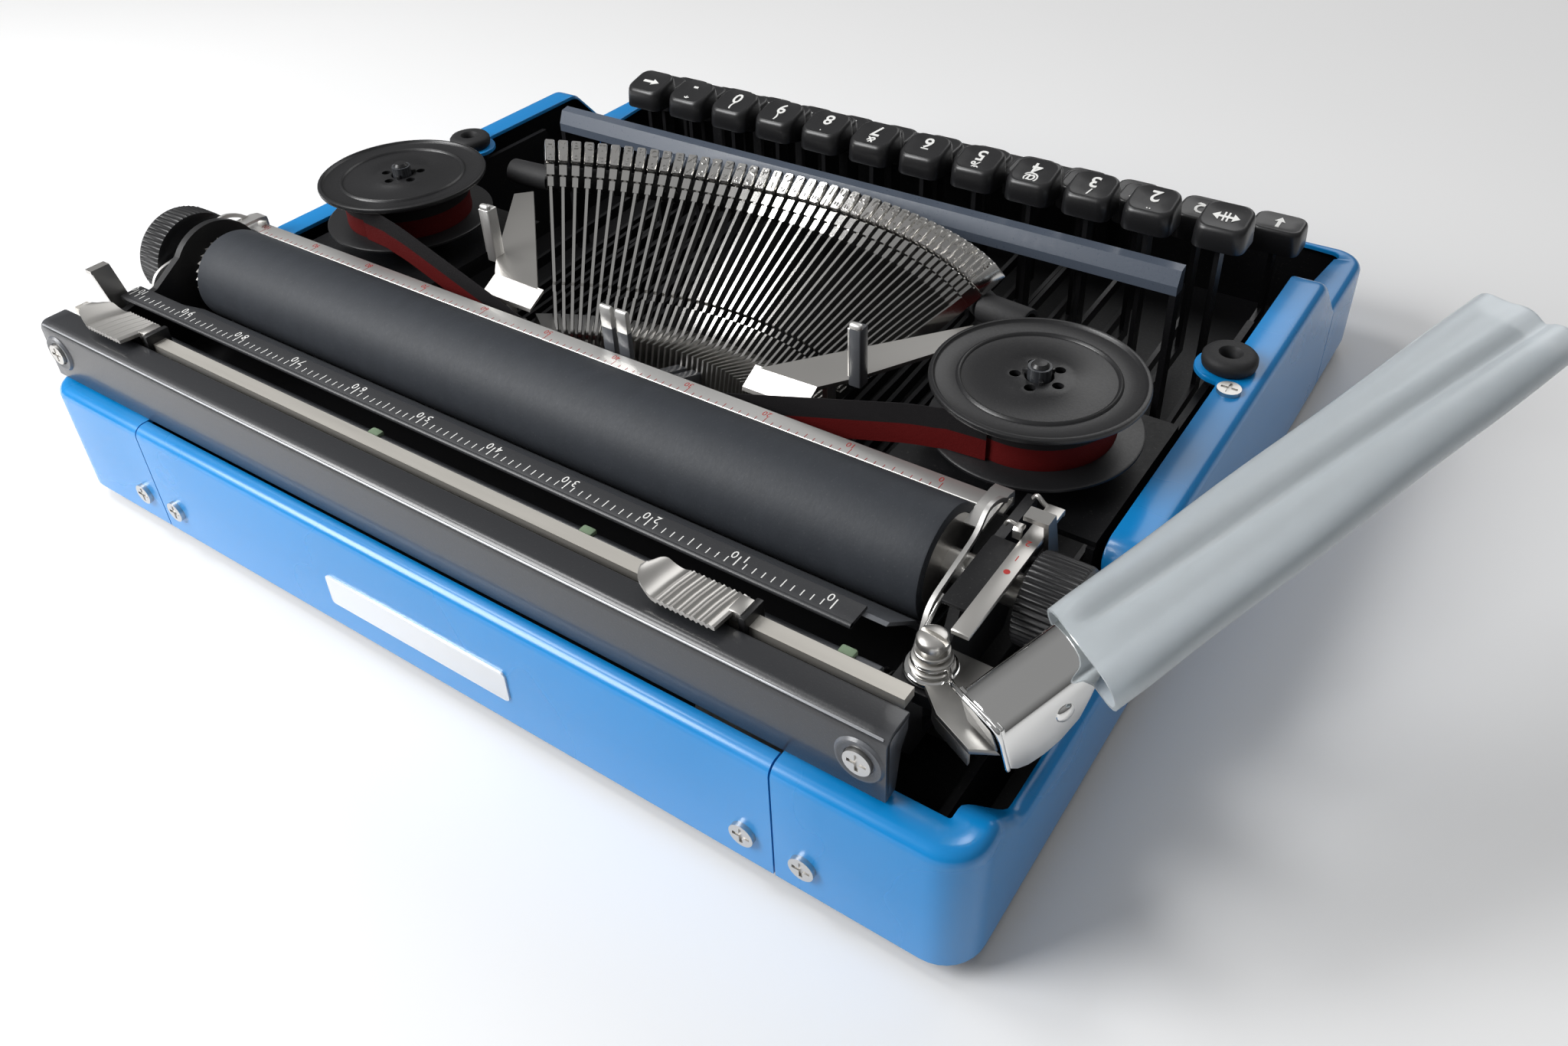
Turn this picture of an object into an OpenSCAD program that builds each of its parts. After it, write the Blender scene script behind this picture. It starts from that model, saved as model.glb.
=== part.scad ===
// Flat portable typewriter: steel body, sliding carriage, type basket, ribbon spools, four rows of keys.
// +X is the typist's right, +Y the rear, Z = 0 the table.
// Places are given as a distance in front of the rear wall and a height above the underside.

/* [Body] */
// Width of the body over the side walls
body_w = 312; // [300:1:330]
// Height of the rubber feet
foot_h = 5; // [4:0.5:9]
// Thickness of the painted sheet steel
sheet = 1.6; // [1.2:0.1:2]
// Radius of the body corners in plan
corner_r = 10; // [6:1:16]
// Height of the rear wall
rear_h = 36; // [34:0.5:36]
// Height of the side walls where the carriage passes over them
dip_h = 26; // [22:0.5:26]
// Height of the side flanges beside the type basket
flange_h = 49.4; // [47:0.2:52]
// Width of the side flanges
flange_w = 11; // [9:0.5:13]
// Height of the front apron
front_h = 30; // [26:0.5:32]
// Distance from the middle to the seams of the rear panel
seam_x = 110; // [100:1:125]
// Gap at the seams between body panels
seam_gap = 0.3; // [0.2:0.1:0.6]
// Radius of a rubber foot
foot_r = 8; // [6:0.5:10]
// Radius of the hole in a cover grommet
grommet_bore = 2.6; // [2:0.1:3.2]

/* [Carriage] */
// Sideways place of the carriage at rest
car_x = 10; // [5:1:14]
// Radius of the platen
platen_r = 14.5; // [14:0.1:14.8]
// Length of the platen's rubber
platen_len = 256; // [250:1:257]
// Distance of the platen axis in front of the rear wall
platen_d = 60.5; // [60:0.1:61]
// Height of the platen axis above the underside
platen_h = 49.1; // [48.8:0.1:49.6]
// Radius of the platen shaft
shaft_r = 4; // [3:0.1:4.2]
// Radius of the right platen knob
knob_r = 15.5; // [13:0.5:16]
// Radius of the left platen knob, which the lever passes over
left_knob_r = 11; // [9:0.5:11]
// Length of the rear carriage cover
cover_len = 289; // [284:1:292]
// Thickness of the carriage end plates
plate_t = 2.5; // [2:0.1:3]
// Clearance of sliding and turning pieces
slip = 0.3; // [0.2:0.05:0.4]
// Radial clearance of a shaft in its bore
run_fit = 0.05; // [0.03:0.01:0.08]

/* [Return lever] */
// Turn of the lever outward from straight ahead, in degrees
lever_yaw = 24.6; // [22:0.2:27]
// Upward slope of the lever, in degrees
lever_rise = 14.8; // [14:0.2:17]
// Length of the metal lever
lever_len = 150; // [130:1:155]
// Width of the lever's channel
lever_w = 13; // [11:0.5:14]
// Width of the flattened sleeve
sleeve_w = 25; // [22:0.5:26]
// Thickness of the flattened sleeve
sleeve_t = 9; // [8.6:0.1:9.4]

/* [Type basket] */
// Number of type bars
bar_count = 43; // [31:2:43]
// Angle from the middle bar to the last bar, in degrees
fan_half = 48; // [46:0.5:48.5]
// Forward lean of the basket's axis, in degrees
seg_tilt = 15; // [13:0.5:16]
// Radius of the ring of bar pivots
pivot_r = 63; // [62:0.2:64]
// Depth of the ring of bar pivots below the print point
pivot_drop = 20; // [19:0.2:21]
// Rise of a resting bar from the plane of the ring, in degrees
bar_rise = 46.5; // [45:0.5:48]
// Thickness of a type bar
bar_t = 1; // [0.8:0.05:1.1]
// Radius of the rubber type rest
rest_r = 4.2; // [3.5:0.1:4.6]

/* [Ribbon] */
// Distance of the spool axes from the middle
spool_x = 114; // [113:0.5:116]
// Gap between the paper bail and the rims of the spools
spool_gap = 2.9; // [2.5:0.1:5]
// Radius of the spool flanges
spool_r = 27; // [25:0.5:27]
// Width of the ribbon
ribbon_w = 12; // [10:0.5:12.5]

/* [Keyboard] */
// Pitch of the keys along a row
key_pitch = 19.05; // [18.4:0.05:19.1]
// Width of a key cap
key_w = 15.4; // [13:0.2:16]
// Depth of a key cap
key_d = 13.4; // [11:0.2:13.6]
// Distance of the number row in front of the type rest bar
row_gap = 11; // [10:0.5:13]
// Height of the number row's caps
row_h = 74; // [70:0.5:76]
// Forward step from row to row
row_step = 18.5; // [18.4:0.1:19]
// Distance from the space bar to the outside of the front wall
front_gap = 5.5; // [5:0.5:20]
// Drop from row to row
row_drop = 8.5; // [7:0.1:9]
// Radius of the shaft that the key levers turn on
key_shaft_r = 2.5; // [2:0.1:2.8]
// Thickness of a key lever
key_lever_t = 1.5; // [1:0.1:1.6]

/* [Hidden] */
$fn = 48;

// Places that follow from each other, from the platen through the type bars and the keys to the front wall
print_angle = 50;
print_gap = 0.4;
slug_face = 1.5;
print_off = platen_r + print_gap + slug_face;
print_d = platen_d + print_off * cos(print_angle);
print_h = platen_h + print_off * sin(print_angle);
bar_len = sqrt(pivot_r * pivot_r + pivot_drop * pivot_drop);
tip_r = pivot_r + bar_len * cos(bar_rise);
tip_n = bar_len * sin(bar_rise) - pivot_drop;
tip_d = print_d + tip_r * cos(seg_tilt) + tip_n * sin(seg_tilt);
rest_bar_gap = 12.9232;
rest_bar_d = tip_d + rest_bar_gap;
row_d = rest_bar_d + row_gap;
space_depth = 11;
space_d = row_d + 4 * row_step;
body_d = space_d + space_depth / 2 + front_gap;
rear_y = body_d / 2;
half_w = body_w / 2;
eps = 0.01;

// Body
front_seam = body_d - 42;
flange_end = front_seam - 21;
top_line = [[0, rear_h], [14, rear_h], [24, dip_h], [70, dip_h], [86, flange_h], [flange_end, flange_h],
            [front_seam, front_h]];
rear_lip = 10;
panel_lip = 4;
side_lip = 4;
corner_lip = 12;
front_lip = 3;
grommet_d = 170;
grommet_x = half_w - flange_w;
tab_r = 9;
grommet_neck = 5;
grommet_r = 7.5;
flange_screw_d = 158;
flange_screw_x = half_w - 7;
rear_screw_step = 7.8;
rear_screw_h = 9.5;
screw_head = 1.2;
screw_r = 3.2;
foot_x = half_w - 26;
foot_back = 25;
foot_front = 24;

// Inner chassis
chassis_x = half_w - 16;
chassis_t = 2;
pan_t = sheet;
low_h = 24;
deck_h = 44;
beam_d = 88;
beam_h = 15;
guide_x = 62;
bar_seat_x = 119;
rest_bar_h = 51.5;
rest_bar_back = 1.6;
rest_bar_front = 3.6;
drum_x = -90;
drum_d = 24;
drum_r = 15;
stud_r = 3;
rail_d = 45;
rail_top = 27;
rail_t = 3;
rail_w = 18;

// Carriage
bed_h = rail_top + slip;
bed_t = 2.5;
bed_top = bed_h + bed_t;
bed_back = 25;
bed_front = 69;
end_back = 16;
end_low = 38;
plate_in = 136.5;
plate_out = plate_in + plate_t;
left_plate = car_x - plate_out;
right_plate = car_x + plate_in;
core_r = platen_r - 2.5;
stay_x = 130;
cover_back = 5;
cover_t = 1.5;
cover_low = rear_h + 0.6;
cover_top = 55;
cover_lip = 9;
stop_rail_d = 18;
stop_rail_w = 4;
stop_rail_h = 52;
stop_rail_t = 2.5;
stop_w = 26;
stop_wall = 1.1;
left_stop_in = 52.5;
right_stop_in = 27.5;
left_stop_x = car_x - cover_len / 2 + left_stop_in;
right_stop_x = car_x + cover_len / 2 - right_stop_in;
stop_rail_left = 142;
stop_rail_right = 144;
table_gap = 1.2;
table_t = 1;
table_end = 22;
scale_back = 28.2;
scale_front = 35.3;
scale_h = 52.5;
scale_t = 1;
scale_left = -112;
scale_right = 150;
bail_d = 36;
bail_h = 37;
bail_pin = 1.5;
bail_t = 1.2;
bail_left = car_x - 133;
bail_right = right_plate + plate_t + 5.5;
bail_front = 77.6;
bail_strip_w = 5.5;
bail_strip_h = 52.4;
bail_path = [[bail_d, bail_h], [43.5, 52.2], [48, 53.2], [63.5, 56.2], [69.5, 60.2], [79.5, 56]];
roller_angle = 250;
roller_r = 2.4;
roller_shaft_r = 1.5;
roller_off = platen_r + roller_r + slip;
roller_d = platen_d - roller_off * cos(roller_angle);
roller_h = platen_h + roller_off * sin(roller_angle);
bearing_x = 105;
strip_h = 58;
strip_t = 1.2;
selector_d = 74;
selector_h = 46;
release_d = 30;
release_h = 44;
small_pin = 1.6;

// Return lever
lever_x = -129.5;
lever_d = 32;
lever_base_h = 47.1;
lever_t = 1.5;
lever_rise_h = 14.9;
lever_root = [-147.5, 16, lever_base_h + lever_rise_h];
lever_depth = 5.5;
lever_pin = 2.5;
lever_boss = 6;
sleeve_from = 24;
sleeve_to = lever_len + 10;
sleeve_wall = 0.8;
coil_r = 3.2;
wire_r = 0.4;
coil_turns = 5;
coil_pitch = 1.9;
coil_d = 29.5;
coil_h = 39.3;

// Type basket
bar_step = 2 * fan_half / (bar_count - 1);
bar_half = 1.6;
bar_eye = 3.6;
neck = 3;
slug_w = 3.2;
slug_len = 8.4;
slot_w = bar_t + 2 * 0.2;
seg_in = pivot_r - 12;
seg_out = pivot_r + 6;
seg_low = -pivot_drop - 7;
seg_top = -pivot_drop + 4.5;
seg_floor = -pivot_drop - 4.2;
seg_end = 5;
rest_u = 61;
rest_end = 14;
rest_turn = 38;
wing_d = print_d + 26;
wing_h = print_h - 8.6;
wing_slope = 5.3;
wing_t = 1.2;
lug_x = 46;
lug_back = 94;
lug_front = 104;
lug_top = 34;
guide_gap = 0.9;
guide_w = 3.8;

// Ribbon
spool_low = 53;
spool_t = 1.2;
pack_r = 20.4;
spindle_r = 3;
hub_r = 7;
spool_high = spool_low + 2 * spool_t + ribbon_w + 2 * slip;
ribbon_t = 0.4;
ribbon_d = bail_front + bail_strip_w + 1.2;
spool_d = bail_front + bail_strip_w + spool_gap + spool_r;
post_x = 66.6;
post_d = 103.5;
post_low = 53;
post_high = 72.5;
ribbon_mid_h = 33;
ribbon_mid_x = 14;

// Keyboard
key_shaft_d = 66;
key_shaft_h = 9;
key_x = -106.3;
eye_r = 4.5;
cap_t = 8.5;
space_t = 6;
cap_r = 3;
stem_half = 2.5;
lever_half = 2;
space_h = row_h - 4 * row_drop;
space_w = 120;
space_arms = [-61.3, 58.2];
margin_x = -127.9;
second_x = -116;
second_n = 12;
home_x = -92;
home_n = 11;
lock_x = home_x - key_pitch;
bottom_x = -82.5;
bottom_n = 10;
shift_left = -131.2;
shift_right = 113;
shift_rod_d = 57.5;
shift_rod_r = 1.5;

// Paint and finish colours
paint = [0.10, 0.42, 0.78];
black = [0.06, 0.06, 0.065];
rubber = [0.12, 0.12, 0.13];
steel = [0.72, 0.72, 0.74];
chrome = [0.85, 0.85, 0.87];
clear = [0.86, 0.89, 0.92];

// Y of a distance in front of the rear wall, and Z of a height above the underside
function yy(d) = rear_y - d;
function zz(h) = foot_h + h;

// Box between two sides, two distances and two heights
module block(x0, x1, d0, d1, h0, h1) {
    translate([x0, yy(d1), zz(h0)]) cube([x1 - x0, d1 - d0, h1 - h0]);
}

// Outline of [distance, height] points, drawn out along X
module prism_x(x0, x1, points) {
    translate([x0, 0, 0]) rotate([90, 0, 90]) linear_extrude(x1 - x0)
        polygon([for (p = points) [yy(p[0]), zz(p[1])]]);
}

// Round bar along X
module rod_x(x0, x1, d, h, r) {
    translate([x0, yy(d), zz(h)]) rotate([0, 90, 0]) cylinder(r = r, h = x1 - x0);
}

// Upright round bar
module rod_z(x, d, h0, h1, r) {
    translate([x, yy(d), zz(h0)]) cylinder(r = r, h = h1 - h0);
}

// Rounded rectangle about the origin
module rounded(w, d, r) {
    square([w - 2 * r, d], center = true);
    square([w, d - 2 * r], center = true);
    for (sx = [-1, 1], sy = [-1, 1]) translate([sx * (w / 2 - r), sy * (d / 2 - r)]) circle(r = r);
}

// Plan of a wall or lip that runs inside the body's outline
module rim(inset) {
    difference() {
        rounded(body_w, body_d, corner_r);
        inner_r = max(corner_r - inset, 0.5);
        rounded(body_w - 2 * inset, body_d - 2 * inset, inner_r);
    }
}

// Everything under the side's top line, widened by a margin in front of and behind it
module under_top_line(x0, x1) {
    prism_x(x0, x1, concat([[0, 0]], top_line, [[front_seam, 0]]));
}

// Strip that follows the side's top line
module top_strip(x0, x1, from, to) {
    run = [for (i = [from:to]) top_line[i]];
    low = [for (i = [to:-1:from]) [top_line[i][0], top_line[i][1] - sheet]];
    prism_x(x0, x1, concat(run, low));
}

// Right side shell with the rear corner, its lips, the flange and the grommet tab
module side_shell() {
    difference() {
        union() {
            intersection() {
                translate([0, 0, foot_h]) linear_extrude(flange_h + 1) rim(sheet);
                under_top_line(seam_x + seam_gap / 2, half_w + 1);
            }
            intersection() {
                translate([0, 0, zz(rear_h - sheet)]) linear_extrude(sheet) rim(rear_lip);
                block(seam_x + seam_gap / 2, half_w, 0, top_line[1][0], 0, rear_h + 1);
            }
            top_strip(half_w - side_lip, half_w - sheet / 2, 1, 6);
            top_strip(half_w - flange_w, half_w - sheet / 2, 4, 5);
            rod_z(grommet_x, grommet_d, flange_h - sheet, flange_h, tab_r);
        }
        rod_z(grommet_x, grommet_d, flange_h - 2 * sheet, flange_h + 1, grommet_neck);
    }
}

module left_side_shell() { color(paint) mirror([1, 0, 0]) side_shell(); }

module right_side_shell() { color(paint) side_shell(); }

// Middle of the rear wall with its narrow top lip
module rear_panel() {
    w = seam_x - seam_gap / 2;
    color(paint) {
        block(-w, w, 0, sheet, 0, rear_h);
        block(-w, w, 0, panel_lip, rear_h - sheet, rear_h);
    }
}

// Front wall with both front corners and the lip round the key well
module front_apron() {
    color(paint) {
        intersection() {
            translate([0, 0, foot_h]) linear_extrude(front_h) rim(sheet);
            block(-half_w, half_w, front_seam + seam_gap, body_d, 0, front_h);
        }
        translate([0, 0, zz(front_h - sheet)]) linear_extrude(sheet) difference() {
            intersection() {
                rounded(body_w, body_d, corner_r);
                translate([-half_w, yy(body_d)]) square([body_w, body_d - front_seam - seam_gap]);
            }
            well = body_d - front_seam - seam_gap - front_lip;
            translate([corner_lip - half_w, yy(body_d) + front_lip])
                square([body_w - 2 * corner_lip, well + 1]);
        }
    }
}

// Floor pan, side plates, spool decks, cross beam with the basket guides and the rest bar's uprights
module base_frame() {
    side = [[8, pan_t], [8, low_h], [84, low_h], [87, deck_h], [front_seam - 45, deck_h],
            [front_seam - 38, low_h], [front_seam + 12, low_h], [front_seam + 12, pan_t]];
    color(black) {
        translate([0, 0, foot_h]) linear_extrude(pan_t)
            rounded(body_w - 2 * sheet - 2 * slip, body_d - 2 * sheet - 2 * slip, corner_r - sheet);
        for (s = [-1, 1]) {
            in = s * (chassis_x + chassis_t / 2);
            prism_x(in - chassis_t / 2, in + chassis_t / 2, side);
            block(min(s * (spool_x - 30), s * (chassis_x + chassis_t)),
                  max(s * (spool_x - 30), s * (chassis_x + chassis_t)), spool_d - 25, spool_d + 29,
                  deck_h, deck_h + sheet);
            guide = s * (guide_x + slip + chassis_t / 2);
            block(guide - chassis_t / 2, guide + chassis_t / 2, beam_d, beam_d + 18, beam_h, 36);
            seat = s * (bar_seat_x + chassis_t / 2);
            block(seat - chassis_t / 2, seat + chassis_t / 2, rest_bar_d - rest_bar_back,
                  rest_bar_d + rest_bar_front, pan_t, rest_bar_h);
        }
        block(-chassis_x, chassis_x, beam_d, beam_d + 6, beam_h, beam_h + 4);
        rod_z(drum_x, drum_d, pan_t, 22, stud_r);
    }
}

module rubber_feet() {
    color(rubber) for (x = [-foot_x, foot_x], d = [foot_back, body_d - foot_front])
        translate([x, yy(d), 0]) cylinder(r = foot_r, h = foot_h);
}

// Rubber rings in the side tabs
module cover_grommets() {
    color(rubber) for (s = [-1, 1]) difference() {
        union() {
            rod_z(s * grommet_x, grommet_d, flange_h, flange_h + 4.5, grommet_r);
            rod_z(s * grommet_x, grommet_d, flange_h - sheet - 2.5, flange_h + 1, grommet_neck - 0.05);
            rod_z(s * grommet_x, grommet_d, flange_h - sheet - 2.5, flange_h - sheet, grommet_r - 1);
        }
        rod_z(s * grommet_x, grommet_d, flange_h - sheet - 4, flange_h + 6, grommet_bore);
    }
}

// Screw heads on the rear wall and on the flanges
module body_screws() {
    color(chrome) for (s = [-1, 1]) {
        for (t = [-1, 1]) translate([s * seam_x + t * rear_screw_step, rear_y, zz(rear_screw_h)])
            rotate([-90, 0, 0]) slotted_head(screw_r, screw_head);
        translate([s * flange_screw_x, yy(flange_screw_d), zz(flange_h)]) slotted_head(screw_r, screw_head);
    }
}

// Round screw head with a cross slot, standing on Z = 0
module slotted_head(r, t) {
    difference() {
        cylinder(r = r, h = t);
        for (a = [0, 90]) rotate([0, 0, a]) translate([-0.45, -0.7 * r, t - 0.5]) cube([0.9, 1.4 * r, 1]);
    }
}

// Fixed rail with a web and a wide top that the carriage shoe grips
module carriage_rail() {
    color(steel) {
        block(-chassis_x, chassis_x, rail_d - 3, rail_d + 3, 14, rail_top - rail_t + eps);
        block(-chassis_x - chassis_t, chassis_x + chassis_t, rail_d - rail_w / 2, rail_d + rail_w / 2,
              rail_top - rail_t, rail_top);
    }
}

// Upright spindles with a small turntable under each spool
module spool_spindles() {
    color(steel) for (s = [-1, 1]) {
        rod_z(s * spool_x, spool_d, deck_h + sheet, spool_high + 3, spindle_r);
        rod_z(s * spool_x, spool_d, deck_h + sheet, spool_low - slip, 10);
    }
}

// Long bar behind the number row, leaning forward at the top
module type_rest_bar() {
    back = rest_bar_d - rest_bar_back;
    front = rest_bar_d + rest_bar_front;
    color([0.30, 0.35, 0.42]) prism_x(-bar_seat_x - chassis_t, bar_seat_x + chassis_t,
        [[back, rest_bar_h], [back, rest_bar_h + 3], [back + 2, rest_bar_h + 7.5], [front, rest_bar_h + 8.1],
         [front, rest_bar_h]]);
}

// Inked ribbon between the two spools, dipping to the print point
module ribbon() {
    end_h = spool_low + spool_t + slip;
    end_x = spool_x - 3.2;
    end_d = spool_d - pack_r - slip - ribbon_t;
    turn_x = spool_x - 17;
    turn_d = end_d - 1.2;
    color([0.35, 0.02, 0.03]) {
        block(-ribbon_mid_x, ribbon_mid_x, ribbon_d - ribbon_t, ribbon_d, ribbon_mid_h,
              ribbon_mid_h + ribbon_w);
        for (s = [-1, 1]) {
            hull() {
                ribbon_edge(s * ribbon_mid_x, ribbon_d - ribbon_t, ribbon_mid_h);
                ribbon_edge(s * turn_x, turn_d, end_h);
            }
            hull() {
                ribbon_edge(s * turn_x, turn_d, end_h);
                ribbon_edge(s * end_x, end_d, end_h);
            }
        }
    }
}

module ribbon_edge(x, d, h) { block(x - 0.05, x + 0.05, d, d + ribbon_t, h, h + ribbon_w); }

module key_shaft() { color(steel) rod_x(-chassis_x, chassis_x, key_shaft_d, key_shaft_h, key_shaft_r); }

// Drum of the spring that draws the carriage
module spring_drum() {
    color(steel) difference() {
        rod_z(drum_x, drum_d, pan_t + slip, 18, drum_r);
        rod_z(drum_x, drum_d, 0, 20, stud_r + run_fit);
        for (h = [7, 13]) translate([drum_x, yy(drum_d), zz(h)])
            rotate_extrude() translate([drum_r, 0]) circle(r = 1);
    }
}

// Frame of the type basket: Z along the axis through the print point, a bar's run along -Y
module basket(angle) {
    translate([0, yy(print_d), zz(print_h)]) rotate([seg_tilt, 0, 0]) rotate([0, 0, angle]) children();
}

// Slotted steel segment that the type bars turn in, with flat lugs between the chassis guides
module segment() {
    span = fan_half + seg_end;
    color(steel) {
        difference() {
            basket(-90 - span) translate([0, 0, seg_low]) rotate_extrude(angle = 2 * span)
                translate([seg_in, 0]) square([seg_out - seg_in, seg_top - seg_low]);
            for (i = [0:bar_count - 1]) basket(i * bar_step - fan_half)
                translate([-slot_w / 2, -seg_out - 2, seg_floor]) cube([slot_w, seg_out - seg_in + 4, 20]);
        }
        for (s = [-1, 1]) block(min(s * lug_x, s * guide_x), max(s * lug_x, s * guide_x), lug_back, lug_front,
                                27.5, lug_top);
    }
}

// One type bar at rest, turning at the local origin and running along -Y
module typebar() {
    top = [[0, -bar_half], [bar_len - 26, -bar_half], [bar_len - 20, neck - bar_half],
           [bar_len - 3, neck - bar_half]];
    low = [[bar_len - 3, neck + bar_half], [bar_len - 21, neck + bar_half], [bar_len - 27, bar_half],
           [0, bar_half]];
    rotate([90, 0, 90]) translate([0, 0, -bar_t / 2]) linear_extrude(bar_t) {
        polygon([for (p = concat(top, low)) [-p[0], -p[1]]]);
        circle(r = bar_eye);
    }
    translate([-slug_w / 2, -bar_len - slug_len / 2, -neck - bar_half])
        cube([slug_w, slug_len, neck + bar_half + slug_face]);
}

module seated_bar(angle) {
    basket(angle) translate([0, -pivot_r, -pivot_drop]) rotate([-bar_rise, 0, 0]) typebar();
}

module typebars() {
    middle = (bar_count - 1) / 2;
    color(chrome) for (i = [0:bar_count - 1]) if (i != middle) seated_bar(i * bar_step - fan_half);
}

module moving_typebar() { color(chrome) seated_bar(0); }

// Rubber tube under the resting slugs, with both ends turned outward
module type_rest() {
    v = bar_half + neck + slip + rest_r;
    r = pivot_r + rest_u * cos(bar_rise) + v * sin(bar_rise);
    n = -pivot_drop + rest_u * sin(bar_rise) - v * cos(bar_rise);
    color(rubber) {
        basket(-90 - fan_half) translate([0, 0, n]) rotate_extrude(angle = 2 * fan_half)
            translate([r, 0]) circle(r = rest_r);
        for (s = [-1, 1]) basket(s * fan_half) translate([0, -r, n]) rotate([0, 0, -s * rest_turn])
            rotate([0, s * 90, 0]) translate([0, 0, -1.5]) cylinder(r = rest_r, h = rest_end + 1.5);
    }
}

// Flat steel wings beside the bars: plate, bent rear flap, and a leg on the segment's lug
module wing_plates() {
    plan = [[41, 0], [59.2, 0.4], [65.4, 7.5], [87.5, 39], [82.5, 43.2]];
    flap = [[wing_d + 0.4, wing_h + 0.1], [wing_d + 0.4, wing_h + wing_t], [wing_d - 6, wing_h - 2.2],
            [wing_d - 6.4, wing_h - 3.2]];
    color(steel) for (s = [-1, 1]) {
        translate([0, yy(wing_d), zz(wing_h)]) rotate([-wing_slope, 0, 0]) linear_extrude(wing_t)
            polygon([for (p = plan) [s * p[0], -p[1]]]);
        prism_x(min(s * 39, s * 59), max(s * 39, s * 59), flap);
        block(s * 60 - 0.8, s * 60 + 0.8, lug_front - 4.5, lug_front - 0.5, lug_top, wing_h + 0.9);
        block(s * 58.4 - 2.4, s * 58.4 + 2.4, lug_back + 3, lug_front, lug_top, lug_top + wing_t);
    }
}

// Ribbon posts on the wings and the two prongs that guide a bar to the print point
module ribbon_guides() {
    foot_d = print_d + seg_in * cos(seg_tilt) - 4.6;
    prong = [[foot_d, 24], [foot_d, 29], [92, 38], [87.2, 46], [86.8, 66], [85.2, 66], [85.2, 44], [89, 35],
             [foot_d - 6, 24]];
    color(black) for (s = [-1, 1]) {
        block(s * post_x - 2, s * post_x + 2, post_d, post_d + 4, post_low, post_high);
        side = s * (guide_gap + guide_w / 2);
        prism_x(side - guide_w / 2, side + guide_w / 2, prong);
    }
}

// Ribbon spool with rim rings, ribs and its wound ribbon
module spool(x) {
    color(black) difference() {
        union() {
            rod_z(x, spool_d, spool_low, spool_low + spool_t, spool_r);
            rod_z(x, spool_d, spool_low, spool_high - 0.5, pack_r);
            rod_z(x, spool_d, spool_high - spool_t, spool_high, spool_r);
            translate([x, yy(spool_d), zz(spool_high - eps)]) {
                ring(spool_r, 1, 0.6);
                ring(spool_r - 7, 0.8, 0.5);
                ring(hub_r, 1.5, 1.5);
                for (a = [0:90:270], t = [-2, 2]) rotate([0, 0, a]) translate([hub_r + 1, t - 0.4, 0])
                    cube([spool_r - hub_r - 9.3, 0.8, 0.5]);
            }
        }
        rod_z(x, spool_d, spool_low - 1, spool_high + 3, spindle_r + run_fit);
    }
}

module ring(r, w, t) {
    difference() {
        cylinder(r = r, h = t);
        translate([0, 0, -1]) cylinder(r = r - w, h = t + 2);
    }
}

module left_spool() { spool(-spool_x); }

module right_spool() { spool(spool_x); }

// Carriage bed with its shoe on the rail, both end plates, rear posts, bearings, and fixed pins
module carriage_frame() {
    rail_half = rail_w / 2;
    left_outline = [[bed_front, bed_h], [82, 47], [82, strip_h], [47, strip_h], [42, lever_base_h - slip],
                    [end_back, lever_base_h - slip], [end_back, end_low], [bed_back, bed_h]];
    right_outline = [[bed_front, bed_h], [platen_d + 12, platen_h - 6], [platen_d - 8, platen_h + 12],
                     [38, 51.9], [end_back, 48], [end_back, end_low], [bed_back, bed_h]];
    neck_half = stop_rail_w / 2 - 0.5;
    color(black) {
        difference() {
            union() {
                block(left_plate, right_plate + plate_t, bed_back, bed_front, bed_h, bed_top);
                prism_x(left_plate, left_plate + plate_t, left_outline);
                prism_x(right_plate, right_plate + plate_t, right_outline);
                rod_x(right_plate, right_plate + plate_t, platen_d, platen_h, platen_r + 1);
                block(lever_x - 7.5, bail_left - slip, lever_d - 7, lever_d + 7, 43.5,
                      lever_base_h - slip);
            }
            rod_x(left_plate - 1, right_plate + plate_t + 1, platen_d, platen_h, shaft_r + run_fit);
            rod_z(lever_x, lever_d, 30, 60, lever_pin);
        }
        for (t = [-1, 1]) {
            cheek = rail_d + t * (rail_half + slip + 1.3);
            block(car_x - 2, car_x + 24, cheek - 1.3, cheek + 1.3, 20, bed_h + eps);
            lip = rail_d + t * (rail_half - 1);
            block(car_x - 2, car_x + 24, lip - 2, lip + 2, 20, rail_top - rail_t - slip);
        }
        for (s = [-1, 1]) {
            post = car_x + s * stay_x;
            prism_x(post - 1.5, post + 1.5, [[bed_back + 0.5, bed_top - eps], [30, bed_top - eps], [22, 42],
                [22, 49],
                [stop_rail_d + neck_half, 49], [stop_rail_d + neck_half, stop_rail_h],
                [stop_rail_d - neck_half, stop_rail_h], [stop_rail_d - neck_half, 49],
                [cover_back + cover_t, 49], [cover_back + cover_t, end_low], [17, end_low]]);
            bearing = car_x + s * bearing_x;
            difference() {
                block(bearing - 2, bearing + 2, roller_d - 2, roller_d + 2.6, bed_top - eps,
                      roller_h + 1.9);
                rod_x(bearing - 3, bearing + 3, roller_d, roller_h, roller_shaft_r + run_fit);
            }
        }
        rod_x(left_plate + plate_t - eps, bail_left + bail_t, bail_d, bail_h, bail_pin);
        rod_x(right_plate + plate_t - eps, bail_right + bail_t, bail_d, bail_h, bail_pin);
        rod_x(left_plate - 8.6, left_plate + eps, selector_d, selector_h, small_pin);
        rod_x(right_plate + plate_t - eps, right_plate + plate_t + 4, release_d, release_h, small_pin);
        rod_x(left_plate + plate_t - eps, left_plate + plate_t + 13, coil_d, coil_h, coil_r - wire_r - slip);
    }
}

// Black rear cover of the carriage: upright back with a narrow top
module rear_cover() {
    x0 = car_x - cover_len / 2;
    color(black) {
        block(x0, x0 + cover_len, cover_back, cover_back + cover_t, cover_low, cover_top);
        block(x0, x0 + cover_len, cover_back, cover_back + cover_lip, cover_top - cover_t, cover_top);
    }
}

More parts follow.
